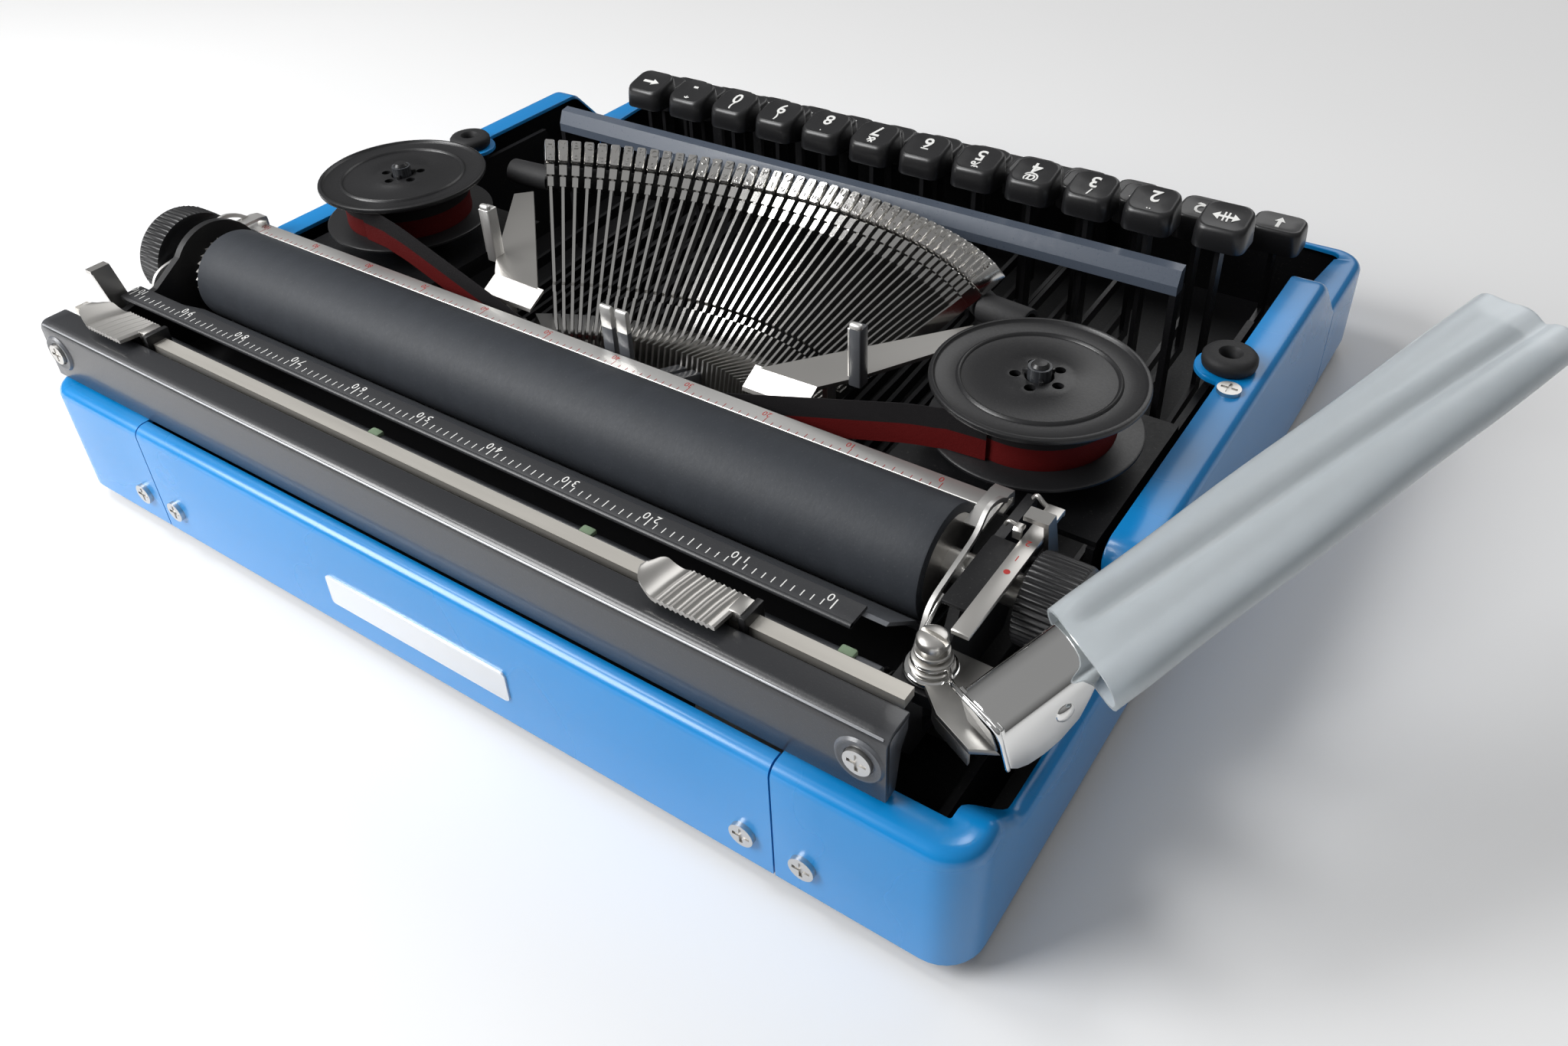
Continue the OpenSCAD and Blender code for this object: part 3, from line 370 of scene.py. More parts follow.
platen_rubber = material("platen_rubber", (0.030, 0.034, 0.041), 0.58, vary=0.16, broad=240, grain=1300,
                         bump=0.10, spec=0.32, dust=0.03, stretch=(1, 0.6, 0.6), spread_=0.06)
key_black = material("key_gloss", (0.011, 0.011, 0.012), 0.36, vary=0.2, grain=1200, bump=0.02, coat=0.1,
                     dust=0.03, spread_=0.05)
black_plastic = material("black_plastic", (0.011, 0.011, 0.012), 0.36, vary=0.2, grain=1500, bump=0.06,
                         dust=0.03)
sleeve_plastic = material("sleeve_plastic", (0.76, 0.81, 0.84), 0.28, vary=0.03, broad=220, grain=700,
                          bump=0.0, spread_=0.01, trans=0.60)
red_cloth = material("ribbon_red", (0.085, 0.003, 0.003), 0.75, vary=0.35, grain=2600, bump=0.3, spec=0.15)
black_cloth = material("ribbon_black", (0.010, 0.009, 0.010), 0.8, vary=0.3, grain=2600, bump=0.3, spec=0.2)
slate = material("slate_enamel", (0.08, 0.098, 0.13), 0.30, vary=0.10, grain=1500, bump=0.05, coat=0.3)
cover_black = material("cover_black", (0.022, 0.023, 0.026), 0.34, vary=0.10, grain=1900, bump=0.06,
                       dust=0.05, coat=0.35, edge_wear_and_light=0.6, edge_wear_and_light_tint=(0.24, 0.25, 0.27))
# Pale grey for the line on the cover's top edge: a painted highlight.
painted_highlight_grey = material("painted_edge_highlight", (0.42, 0.43, 0.45), 0.34, 0.5, vary=0.10, bump=0.02)
white_ink = material("white_ink", (0.80, 0.80, 0.78), 0.5, vary=0.06, grain=2400, bump=0.03)
red_ink = material("red_ink", (0.42, 0.02, 0.015), 0.5, vary=0.15, grain=2400, bump=0.03)
green_pad = material("pale_green_felt", (0.24, 0.33, 0.22), 0.8, vary=0.2, grain=2400, bump=0.3, spec=0.2)
plate_metal = material("bare_plate", (0.80, 0.81, 0.82), 0.34, 0.55, vary=0.04, bump=0.04,
                       stretch=(0.1, 1, 1))
scale_black = material("scale_black", (0.032, 0.033, 0.036), 0.38, vary=0.15, grain=1500, bump=0.05,
                       dust=0.06)
wire_black = material("black_wire", (0.012, 0.012, 0.013), 0.35, 0.3, vary=0.2, bump=0.04)

# Finishes of the solids that stay

FINISH = {"base_frame": pan_and_shade_black, "body_screws": satin_plate, "carriage_rail": steel,
          "spool_spindles": satin_black, "type_rest_bar": slate, "key_shaft": steel, "spring_drum": steel,
          "segment": steel, "wing_plates": satin_plate, "carriage_frame": black_plastic,
          "margin_rail": rail_steel, "paper_table": satin_black, "carriage_screws": satin_plate,
          "platen_shaft": satin_plate, "feed_rollers": rubber, "release_lever": satin_plate,
          "line_selector": dull_steel}
for name, finish in FINISH.items():
    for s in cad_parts[name].material_slots:
        s.material = finish

# Body panels: a wall with a rounded upper edge and a lip turned inwards, its inner faces black as painted
# shade

HALF_W = 156.0
FRONT = 292.0
CORNER = 10.0
CORNER_X = HALF_W - CORNER
CORNER_TURNS = [k * math.pi / 16 for k in range(1, 9)]
SKIN = 1.4
EDGE_R = 3.2
REAR_TOP, REAR_LIP = 36.0, 9.5
FRONT_TOP = 30.0
REAR_SEAM, FRONT_SEAM, SEAM_GAP = 109.95, 250.0, 0.5
TOP_LINE = [(0, 36), (14, 36), (24, 26), (70, 26), (86, 49.4), (229, 49.4), (250, 30)]
LIP_LINE = [(0, 9.5), (14, 9.5), (24, 4), (70, 4), (84, 11), (229, 11), (246, 6), (250, 5)]
TAB_X, TAB_D, TAB_R = 145.0, 170.0, 9.0


def top_at(d):
    """Height of the side wall, with its bends eased."""
    reach = 2.6
    return sum(line_at(TOP_LINE, d + reach * (k / 6 - 1)) for k in range(13)) / 13


def lip_at(d):
    """Width of the side wall's lip, with the round tab of the cover ring."""
    lip = line_at(LIP_LINE, d)
    off = abs(d - TAB_D)
    if off < TAB_R:
        lip += math.sqrt(TAB_R ** 2 - off ** 2)
    elif off < TAB_R + 3:
        lip += 0.35 * (1 - (off - TAB_R) / 3) ** 2
    return lip


def section(top, lip):
    """Section of a wall and lip as inward run and height: the outer side, then the inner one."""
    r = min(EDGE_R, lip - 0.9)
    q = max(r - SKIN, 0.2)
    arc = [math.pi - i * math.pi / 14 for i in range(8)]
    out = [(0, 0.35), (0, top * 0.5), (0, top - r)]
    out += [(r + r * math.cos(a), top - r + r * math.sin(a)) for a in arc[1:]]
    out += [(lip - 0.5, top), (lip - 0.12, top - 0.2), (lip, top - 0.6), (lip, top - SKIN)]
    inner = [(r + q * math.cos(a), top - SKIN - q + q * math.sin(a)) for a in arc[::-1]]
    return out + inner + [(r - q, top * 0.5), (r - q, 0.35)]


OUTER_FACES = 13
RING_FACES = len(section(REAR_TOP, REAR_LIP))


def panel(build, stations):
    """Stations are x, d, inward x, inward d, top and lip. The inner faces take the second finish, black as
    painted shade.
    """
    first = len(build.faces)
    build.loft([[P(x + nx * u, d + nd * u, h) for u, h in section(top, lip)]
                for x, d, nx, nd, top, lip in stations])
    for i in range(first, len(build.faces) - 2):
        build.mats[i] = 1 if OUTER_FACES <= (i - first) % RING_FACES < RING_FACES - 1 else 0


def mirrored(stations):
    return [(-x, d, -nx, nd, top, lip) for x, d, nx, nd, top, lip in stations]


def side_stations():
    out = [(x, 0, 0, 1, REAR_TOP, REAR_LIP) for x in (REAR_SEAM + SEAM_GAP / 2, 122, 134, 145.9)]
    for a in CORNER_TURNS:
        out.append((CORNER_X + CORNER * math.sin(a), CORNER - CORNER * math.cos(a),
                    -math.sin(a), math.cos(a), REAR_TOP, REAR_LIP))
    steps = spread(11, 27, 13) + spread(30, 66, 6) + spread(68, 90, 18) + spread(96, 156, 6)
    steps += spread(158, 182, 41) + spread(190, 222, 5) + spread(225, FRONT_SEAM - 0.3, 18)
    return out + [(HALF_W, d, -1, 0, top_at(d), lip_at(d)) for d in steps]


def front_stations():
    start, turn = FRONT_SEAM + 0.3, FRONT - CORNER
    out = [(HALF_W, d, -1, 0, FRONT_TOP, lerp(12, 9, (d - start) / (turn - start)))
           for d in spread(start, turn, 6)]
    for k, a in enumerate(CORNER_TURNS, 1):
        out.append((CORNER_X + CORNER * math.cos(a), turn + CORNER * math.sin(a),
                    -math.cos(a), -math.sin(a), FRONT_TOP, lerp(9, 5, k / 8)))
    return out + [(x, FRONT, 0, -1, FRONT_TOP, 4.2) for x in spread(138, 0, 8)]


# Skins: blue outside, with the inner faces black as painted shade.
for side, name in ((-1, "left_side_shell"), (1, "right_side_shell")):
    b = Build()
    panel(b, side_stations() if side > 0 else mirrored(side_stations()))
    hole = Build()
    hole.lathe([(5.0, 40), (5.0, 56)], P(side * TAB_X, TAB_D, 0), seg=40, loop=False)
    b.make(name.replace("shell", "skin"), [blue, pan_and_shade_black], "frame", "blue_paint", [name], cut=hole)

b = Build()
rear_end = REAR_SEAM - SEAM_GAP / 2
panel(b, [(x, 0, 0, 1, REAR_TOP, 5.0) for x in spread(-rear_end, rear_end, 12)])
b.make("rear_skin", [blue, pan_and_shade_black], "frame", "blue_paint", ["rear_panel"])

half = front_stations()
b = Build()
panel(b, half + mirrored(half[-2::-1]))
b.make("front_skin", [blue, pan_and_shade_black], "frame", "blue_paint", ["front_apron"])

# Bare plate on the rear wall

PLATE_W, PLATE_H = 65.3, 9.7
b = Build()
rim = round_rect(PLATE_W, PLATE_H, 1.2)
middle = P(0.15, 0, 13.85)
b.loft([[middle + Vector((x * s, y, z * s)) for x, z in rim]
        for y, s in ((-0.2, 1), (0.45, 1), (0.6, 0.993))])
b.make("rear_plate", plate_metal, "frame", "steel")

# Rubber rings of the cover and the feet

b = Build()
for side in (-1, 1):
    b.lathe([(2.6, 45.6), (2.6, 52.8), (3.3, 53.8), (5.2, 53.9), (6.6, 53.6), (7.4, 52.7), (7.5, 51.2),
             (7.2, 50.0), (6.4, 49.45), (4.95, 49.42), (4.95, 47.7), (6.3, 47.6), (6.5, 46.6), (6.2, 45.4),
             (3.0, 45.3)], P(side * TAB_X, TAB_D, 0), seg=56)
b.make("cover_rings", rubber, "frame", "rubber", ["cover_grommets"])

FOOT_X, FOOT_D = 130, (25, FRONT - 24)
b = Build()
for x in (-FOOT_X, FOOT_X):
    for d in FOOT_D:
        b.lathe([(0.01, -5), (6.9, -5), (7.6, -4.6), (7.9, -3.6), (8, -0.1), (0.01, -0.05)], P(x, d, 0),
                seg=48, loop=False)
b.make("feet", rubber, "frame", "rubber", ["rubber_feet"])

# Ribbon between the spools, two-coloured cloth

RIBBON_W = 12.0
RIBBON_HALF_T = 0.12
half = [(14, 84.1, 33), (97, 90.7, 54.5), (110.8, 91.9, 54.5)]
route = [Vector(p) for p in [(-x, d, h) for x, d, h in half[::-1]] + half]
fine = []
for a, c in zip(route, route[1:]):
    n = max(2, int((c - a).length / 3))
    fine += [a.lerp(c, i / n) for i in range(n)]
fine.append(route[-1])
soft = []
for i, p in enumerate(fine):
    near = fine[max(0, i - 3):i + 4]
    soft.append(sum(near, Vector()) / len(near) if 3 < i < len(fine) - 4 else p)
rings = []
for i, p in enumerate(soft):
    along = soft[min(i + 1, len(soft) - 1)] - soft[max(i - 1, 0)]
    out = Vector((-along.y, along.x, 0)).normalized() * RIBBON_HALF_T
    rings.append([P(p.x + s * out.x, p.y + s * out.y, p.z + h * RIBBON_W)
                  for s, h in ((1, 0), (1, 0.5), (1, 1), (-1, 1), (-1, 0.5), (-1, 0))])
b = Build()
b.loft(rings)
for i in range(len(b.faces) - 2):
    b.mats[i] = 1 if i % 6 in (1, 2, 3) else 0
ribbon = b.make("ribbon_band", [red_cloth, black_cloth], "frame", "ribbon_cloth", ["ribbon"])

# Spools with rim rings, paired ribs and wound ribbon

SPOOL_X, SPOOL_D = 114.0, 113.0
SPOOL_TURN = 0.35
RIB_T = 0.35
for side, word in ((-1, "left"), (1, "right")):
    at = P(side * SPOOL_X, SPOOL_D, 0)
    b = Build()
    b.lathe([(3.4, 53.05), (26.6, 53.0), (27.1, 53.3), (27.1, 53.9), (26.6, 54.2), (3.4, 54.2)], at, seg=96)
    b.lathe([(3.4, 66.8), (26.4, 66.8), (27.0, 67.1), (27.15, 67.7), (27.0, 68.3), (26.5, 68.6),
             (26.0, 68.55), (25.6, 68.0), (25.2, 67.75), (20.4, 67.75), (20.1, 68.2), (19.7, 68.35),
             (19.3, 68.2), (19.0, 67.75), (9.6, 67.75), (9.2, 68.05), (3.7, 68.05), (3.4, 67.7)], at, seg=96)
    for q in range(4):
        f = turned(at, q * TAU / 4 + SPOOL_TURN)
        for y in (-2.0, 2.0):
            b.box((9.4, y - RIB_T, 67.4), (19.3, y + RIB_T, 68.05), 0, 0.15, f)
            b.box((20.2, y - RIB_T, 67.4), (25.5, y + RIB_T, 68.0), 0, 0.15, f)
    b.lathe([(7.5, 54.21), (20.3, 54.21), (20.45, 55.2), (20.3, 57), (20.4, 60.5), (7.5, 60.5)], at,
            seg=72, mat=1)
    b.lathe([(7.5, 60.52), (20.4, 60.52), (20.3, 63), (20.45, 65.5), (20.3, 66.75), (7.5, 66.75)], at,
            seg=72, mat=2)
    holes = Build()
    for q in range(5):
        a = q * TAU / 5 + SPOOL_TURN
        holes.lathe([(1.45, 60), (1.45, 70)], at + 5.9 * Vector((math.cos(a), math.sin(a), 0)), seg=20,
                    loop=False)
    b.make(word + "_spool_reel", [black_plastic, red_cloth, black_cloth], "spool_" + word, "black_plastic",
           [word + "_spool"], cut=holes)

# Prongs on the spindles

b = Build()
for side in (-1, 1):
    at = P(side * SPOOL_X, SPOOL_D, 0)
    for q in range(3):
        b.box((2.7, -0.55, 66), (4.4, 0.55, 69.0), 0, 0.2, turned(at, q * TAU / 3))
    b.lathe([(0.01, 70.9), (1.6, 70.9), (2.3, 71.2), (1.7, 72.0), (0.01, 72.2)], at, seg=32, loop=False)
b.make("spindle_prongs", black_plastic, "frame", "steel")

# Carriage: rear cover with a pale line along its top edge as a painted highlight, and its screw cups

COVER_LEFT, COVER_RIGHT, COVER_END = -134.5, 154.5, 1.5


def cover_profile():
    out = [(5.0, 36.7), (5.0, 44), (5.0, 52.4)]
    out += [(7.6 - 2.6 * math.cos(a), 52.4 + 2.6 * math.sin(a)) for a in spread(0.2, 1.37, 6)]
    out += [(7.6, 55.0), (13.2, 55.0), (13.8, 54.8), (14.0, 54.2), (13.8, 53.6), (13.2, 53.5), (7.7, 53.5)]
    out += [(7.7 - 1.2 * math.cos(a), 52.3 + 1.2 * math.sin(a)) for a in spread(1.37, 0.2, 4)]
    return out + [(6.5, 52), (6.5, 36.7)]


b = Build()
profile = cover_profile()
b.loft([[P(x, d, h) for d, h in profile] for x in (COVER_LEFT, -130, -60, 10, 80, 150, COVER_RIGHT)])
for x in (COVER_LEFT, COVER_RIGHT - COVER_END):
    b.prism([(5.3, 36.8), (5.3, 53), (7.6, 54.8), (13.5, 54.8), (13.5, 50.5), (11, 47), (9, 36.8)],
            x + 0.02, x + COVER_END - 0.02)
# Thin pale tube along the cover's top edge: a painted highlight, not a part.
b.tube([P(x, 5.62, 54.12) for x in spread(COVER_LEFT + 0.9, COVER_RIGHT - 0.9, 12)], 0.30, 10, 1)
b.make("carriage_cover", [cover_black, painted_highlight_grey], "carriage", "black_paint", ["rear_cover"], bevel=0.25)

b = Build()
for x in (COVER_LEFT + 6, COVER_RIGHT - 6):
    b.lathe([(3.35, -0.02), (3.5, 0.35), (4.6, 0.7), (5.3, 0.62), (5.8, -0.02)], P(x, 5.0, 46), "y")
b.make("screw_cups", satin_black, "carriage", "black_paint")

# Margin stops: saddle, ridged thumb plate with a curled tongue, lug and block

RIDGE_PITCH, RIDGE_H = 1.35, 0.28
TONGUE_X, TONGUE_RUN = 6.2, 6.8


def thumb_ring(x0, x):
    """Section of a thumb plate at x from the stop's middle."""
    wave = RIDGE_H * math.cos(TAU * x / RIDGE_PITCH) if -8.6 < x < TONGUE_X else 0
    t = max(0.0, (x - TONGUE_X) / TONGUE_RUN)
    lift = wave + 3.2 * t * t * (3 - 2 * t) - 0.9 * math.sin(math.pi * t)
    narrow = 1.6 * t + 2.6 * (max(0.0, t - 0.72) / 0.28) ** 2
    back, front = 9.0 + narrow, 21.6 - narrow
    back_h, front_h = 58.3 + lift, 56.5 + lift
    mid, mid_h = (back + front) / 2, (back_h + front_h) / 2
    return [P(x0 + x, d, h) for d, h in ((back, back_h), (mid, mid_h + 0.25), (front, front_h),
                                         (front, front_h - 1.0), (mid, mid_h - 0.8), (back, back_h - 1.0))]


for word, x0 in (("left", -82.0), ("right", 127.0)):
    b = Build()
    b.prism([(14.6, 50.6), (14.6, 55.8), (22, 55.8), (22, 50.6), (20.4, 50.6), (20.4, 54.85), (15.6, 54.85),
             (15.6, 50.6)], x0 - 8, x0 + 8, 1)
    b.loft([thumb_ring(x0, x) for x in spread(-9.5, TONGUE_X + TONGUE_RUN, 76)])
    b.block((x0 - 11.6, x0 - 8.2), (15.2, 20.5), (54.9, 57.8))
    b.block((x0 - 13.0, x0 - 11.2), (14.6, 21.8), (50.8, 57.4), 1, 0.35)
    b.make(word + "_margin_slider", [satin_plate, black_plastic], "stop_" + word, "chrome",
           [word + "_margin_stop"])

# Paper scale: ticks and numerals, read from the front

ZERO_X, SPACE, SPACES = -105.8, 2.54, 100
STRIP_LEFT, STRIP_RIGHT = -112, 150
DIGIT_OFF = 1.6


def tick_run(i, ten, five, one):
    return ten if i % 10 == 0 else five if i % 5 == 0 else one


b = Build()
b.prism([(28.25, 52.75), (28.4, 53.2), (28.9, 53.5), (34.9, 53.5), (35.2, 53.4), (35.3, 53.1), (35.3, 52.5),
         (28.6, 52.5)], STRIP_LEFT, STRIP_RIGHT)
b.tube([P(x, 28.9, 52.85) for x in spread(STRIP_LEFT, STRIP_RIGHT, 20)], 0.72, 14)
b.make("scale_strip", scale_black, "carriage", "black_paint", ["paper_scale"])
scale_frame = Matrix.Translation(P(0, 30.2, 53.5))
b = Build()
for i in range(SPACES + 1):
    x = ZERO_X + SPACE * i
    run, w = tick_run(i, 3.3, 2.5, 1.9), tick_run(i, 0.16, 0.13, 0.13)
    b.flat([(x - w, -run), (x + w, -run), (x + w, 0), (x - w, 0)], scale_frame)
    if i % 10 == 0:
        word = str(i)
        tens_off = -DIGIT_OFF * (1 if i < 100 else 1.6)
        for part, off in ((word[:-1], tens_off), (word[-1], DIGIT_OFF)):
            if part:
                b.text(part, 3.3, scale_frame @ Matrix.Translation((x + off, -3.2, 0)))
b.make("scale_marks", white_ink, "carriage", "steel")

# Dark bar and pale pads behind the scale

ROD_LEFT, ROD_RIGHT = -121, 141
b = Build()
b.tube([P(x, 25.6, 46.8) for x in spread(ROD_LEFT, ROD_RIGHT, 20)], 1.5, 16)
for x in (ROD_LEFT + 1, ROD_RIGHT - 1):
    b.block((x - 1.4, x + 1.4), (21.4, 25.6), (45.4, 48))
b.make("tab_bar", satin_black, "carriage", "black_paint")
b = Build()
for x in (33, -41, -113):
    b.block((x - 2.0, x + 2.0), (24.4, 27.0), (47.0, 49.2), 0, 0.6)
b.make("bar_pads", green_pad, "carriage", "rubber")

# Platen rubber and knobs

AXIS = P(0, 60.5, 49.1)
PLATEN_LEFT, PLATEN_RIGHT = -118, 138
b = Build()
b.lathe([(12.1, PLATEN_LEFT), (13.9, PLATEN_LEFT), (14.4, PLATEN_LEFT + 0.3), (14.5, PLATEN_LEFT + 0.8)]
        + [(14.5, x) for x in spread(-110, 130, 13)]
        + [(14.5, PLATEN_RIGHT - 0.8), (14.4, PLATEN_RIGHT - 0.3), (13.9, PLATEN_RIGHT),
           (12.1, PLATEN_RIGHT)], AXIS, "x", 112)
b.make("platen_rubber_tube", platen_rubber, "platen", "rubber", ["platen_roller"])


def knob(b, x0, x1, r, ridges, face):
    """Ridged knob from its inner end at x0 to its outer end at x1, with a sunk face."""
    s = 1 if x1 > x0 else -1
    rim = [(r - 1.3, x0), (r - 0.35, x0 + 0.3 * s), (r, x0 + 0.9 * s), (r, x1 - 1.2 * s),
           (r - 0.4, x1 - 0.4 * s), (r - 1.4, x1), (face + 0.8, x1), (face, x1 - 0.8 * s),
           (4.6, x1 - 0.8 * s), (4.25, x1 - 1.2 * s), (4.25, x0 + 0.5 * s), (r - 3, x0)]
    b.lathe(rim, AXIS, "x", ridges * 6, ridge=ridges, depth=0.75, ridged=(2, 3))


b = Build()
knob(b, 157, 167.5, 15.5, 60, 11.0)
knob(b, -138, -150, 11.0, 44, 7.6)
b.make("platen_grips", black_plastic, "platen", "black_plastic", ["platen_knobs"], angle=50)

# Paper bail: graduated strip, arms and clips

BAIL_D, BAIL_H, BAIL_W, BAIL_T = 80.35, 52.9, 5.5, 1.0
BAIL_ARM = spline([(d, h, 0) for d, h in ((36, 37), (40.5, 46.6), (44.2, 52.0), (52, 54.0), (63.5, 56.2),
                                          (69.5, 60.0), (75, 59.0), (79.5, 56))])
BAIL_CLIP = [(80.5, 56.9), (83.2, 56.3), (83.4, 55.2), (83.4, 52.0), (82.6, 52.0), (82.6, 54.9), (80.5, 55.9),
             (70, 56.0), (67.2, 55.6), (67.0, 56.3), (70, 56.9)]


def arm_ring(x, i):
    """Section of a bail arm at one point of its path."""
    along = (BAIL_ARM[min(i + 1, len(BAIL_ARM) - 1)] - BAIL_ARM[max(i - 1, 0)]).normalized()
    return [P(x + t, BAIL_ARM[i].x - along.y * w, BAIL_ARM[i].y + along.x * w)
            for t, w in ((-0.55, -0.6), (0.55, -0.6), (0.55, 0.6), (-0.55, 0.6))]


b = Build()
b.loft([[P(x, BAIL_D - u, BAIL_H + v) for u, v in round_rect(BAIL_W, BAIL_T, 0.3, 3)]
        for x in spread(-122.8, 155.4, 30)])
for x, s in ((-122.4, 1), (155.1, -1)):
    b.loft([arm_ring(x, i) for i in range(len(BAIL_ARM))])
    b.lathe([(1.6, -0.6), (2.9, -0.6), (3.0, 0), (2.9, 0.6), (1.6, 0.6)], P(x, 36, 37), "x", 32)
    b.loft([[P(x + s * u, d, h) for d, h in BAIL_CLIP] for u in (-0.4, 4.6)])
b.make("bail_bar", aluminium, "bail", "steel", ["paper_bail"])

TICK_TOP, TICK_HALF = 2.6, 0.09
b = Build()
for i in range(SPACES + 1):
    f = Matrix.Translation(P(ZERO_X + SPACE * i, BAIL_D, BAIL_H + BAIL_T / 2))
    low = TICK_TOP - tick_run(i, 2.4, 1.7, 1.2)
    b.flat([(-TICK_HALF, low), (TICK_HALF, low), (TICK_HALF, TICK_TOP), (-TICK_HALF, TICK_TOP)], f)
    if i % 10 == 0:
        b.text(str(i), 2.6, f @ Matrix.Translation((0.9, -0.9, 0)))
b.make("bail_marks", red_ink, "bail", "steel")

# Pivot screw of the lever with washers and slot, and the spring wire round it

PIVOT = P(-129.5, 32, 0)
SLOT_TURN = -0.14
b = Build()
b.lathe([(0.01, 40.0), (2.4, 40.0), (2.4, 48.85), (4.6, 48.85), (4.9, 49.05), (4.9, 49.6), (4.6, 49.8),
         (3.0, 49.85), (3.0, 50.6), (4.1, 50.65), (4.4, 50.9), (4.4, 51.5), (4.1, 51.7), (2.9, 51.75),
         (2.9, 52.5), (3.7, 52.55), (3.9, 52.75), (3.9, 53.3), (3.7, 53.5), (2.7, 53.55), (2.7, 54.6),
         (3.2, 54.65), (3.5, 54.9), (3.5, 56.4), (3.3, 56.85), (2.8, 57.15), (1.8, 57.4), (0.01, 57.5)],
        PIVOT, loop=False)
slit = Build()
slit.box((-6, -0.55, 56.2), (6, 0.55, 60), 0, 0, turned(PIVOT, SLOT_TURN))
b.make("lever_screw", satin_plate, "carriage", "chrome", ["pivot_screw"], cut=slit)

COIL_R, COIL_LOW, COIL_RISE, COIL_START, COIL_TURNS = 4.15, 50.45, 1.05 / 1.9, 0.4, 1.15
coil = []
for a in spread(COIL_START, COIL_START + TAU * COIL_TURNS, 44):
    rise = COIL_LOW + COIL_RISE * (a - COIL_START) / TAU
    coil.append(PIVOT + Vector((COIL_R * math.cos(a), COIL_R * math.sin(a), rise)))
b = Build()
b.tube(spline([coil[0] + Vector((2.0, -6.0, -0.4))] + coil, 2), 0.42, 10)
b.make("lever_spring_wire", bright, "carriage", "steel")

b = Build()
b.tube(spline([P(-123.6, d, h) for d, h in ((47.5, 52.6), (44, 51.4), (37.5, 47.8), (30, 44.8), (28.6, 43.2),
                                            (28.8, 40.5))], 6), 0.6, 10)
b.make("bail_wire", bright, "carriage", "steel")

# Small coil spring inside the left end plate

SPRING_TURNS, SPRING_PITCH, SPRING_R = 5, 1.9, 3.2
b = Build()
wire = []
for i in range(SPRING_TURNS * 24 + 1):
    a = TAU * i / 24
    wire.append(P(-125 + SPRING_PITCH * i / 24, 29.5 + SPRING_R * math.cos(a), 39.3 + SPRING_R * math.sin(a)))
b.tube(wire, 0.42, 10)
b.make("return_coil", wire_black, "carriage", "black_paint", ["coil_spring"], angle=60)

# Return lever: base plate, folded box and channel, with its plastic sleeve

LEVER_YAW, LEVER_PITCH = math.radians(-24.6), math.radians(-14.8)
lever_frame = turned(P(-147.5, 16, 62), LEVER_YAW) @ Matrix.Rotation(LEVER_PITCH, 4, "X")
LEVER_SIDE, LEVER_INSIDE = 6.5, 5.4
OUTER = [(0, 13.5), (1.5, 15.2), (4, 16.5), (8, 17), (12, 16.4), (17, 14.2), (20.5, 10), (22.8, 6.6),
         (24, 5.5), (160, 5.5)]
INNER = [(0, 12), (1.5, 13.4), (8, 13.4), (12, 11.2), (16, 8), (19, 5.6), (160, 5.5)]
CROWN = [(0, 0), (1.6, -0.05), (3.6, -0.35), (5.2, -1.1), (6.2, -2.2)]
HOLLOW = [(5.2, -2.9), (4.2, -2.1), (2.8, -1.5)]


def channel(s):
    """Section of the lever s along it: outer side, crown, inner side, hollow."""
    o, i = line_at(OUTER, s), line_at(INNER, s)
    pts = [(-LEVER_SIDE, -o), (-LEVER_SIDE, -3.6)]
    pts += [(-x, z) for x, z in CROWN[:0:-1]] + CROWN
    pts += [(LEVER_SIDE, -3.6), (LEVER_SIDE, -i), (LEVER_INSIDE, -i), (LEVER_INSIDE, -3.8)]
    pts += HOLLOW + [(0, -1.15)] + [(-x, z) for x, z in HOLLOW[::-1]]
    pts += [(-LEVER_INSIDE, -3.8), (-LEVER_INSIDE, -o)]
    return [lever_frame @ Vector((x, -s, z)) for x, z in pts]


b = Build()
b.loft([channel(s) for s in [0, 0.6] + spread(1.5, 24, 20) + spread(30, 141, 8) + [142]])
b.box((-6.3, -1.0, -12.2), (6.3, 0.1, -0.7), 0, 0.3, lever_frame)
foot = [(-126.6, 38.2), (-130.4, 26.8), (-136.5, 21), (-146, 16.5), (-156.6, 22.4), (-155, 38)]
b.slab(foot, 47.15, 48.55, 1)
lip = [(-134.4, 23.0), foot[2], foot[3]]
b.slab(lip + [(x, d + 1.0) for x, d in lip[::-1]], 43.6, 47.2, 1)
b.lathe([(2.6, 47.1), (5.6, 47.1), (6.0, 47.4), (6.0, 48.3), (5.6, 48.6), (2.6, 48.6)], PIVOT)
rivet = Build()
rivet.lathe([(0.01, -0.9), (1.0, -0.85), (1.9, -0.5), (2.2, 0.0), (2.2, 0.3), (0.01, 0.3)],
            (-LEVER_SIDE, -14, -9), "x", 32, loop=False)
b.join(rivet, lever_frame)
wire = [P(-130.5, 36.6, 49.9), P(-134.5, 30, 51)]
wire += [lever_frame @ Vector((x, 0.7, z))
         for x, z in ((6.2, 0.2), (-4.6, 0.2), (-6.6, -1.6), (-6.7, -6), (-6.6, -13))]
b.tube(spline(wire, 6), 0.55, 10)
b.make("lever_arm", [mirror, dull_steel], "lever", "chrome", ["return_lever"], bevel=0.18)

SLEEVE_START, SLEEVE_END = 21.8, 146
SLEEVE_W, SLEEVE_H, SLEEVE_T = 24.6, 8.6, 0.75


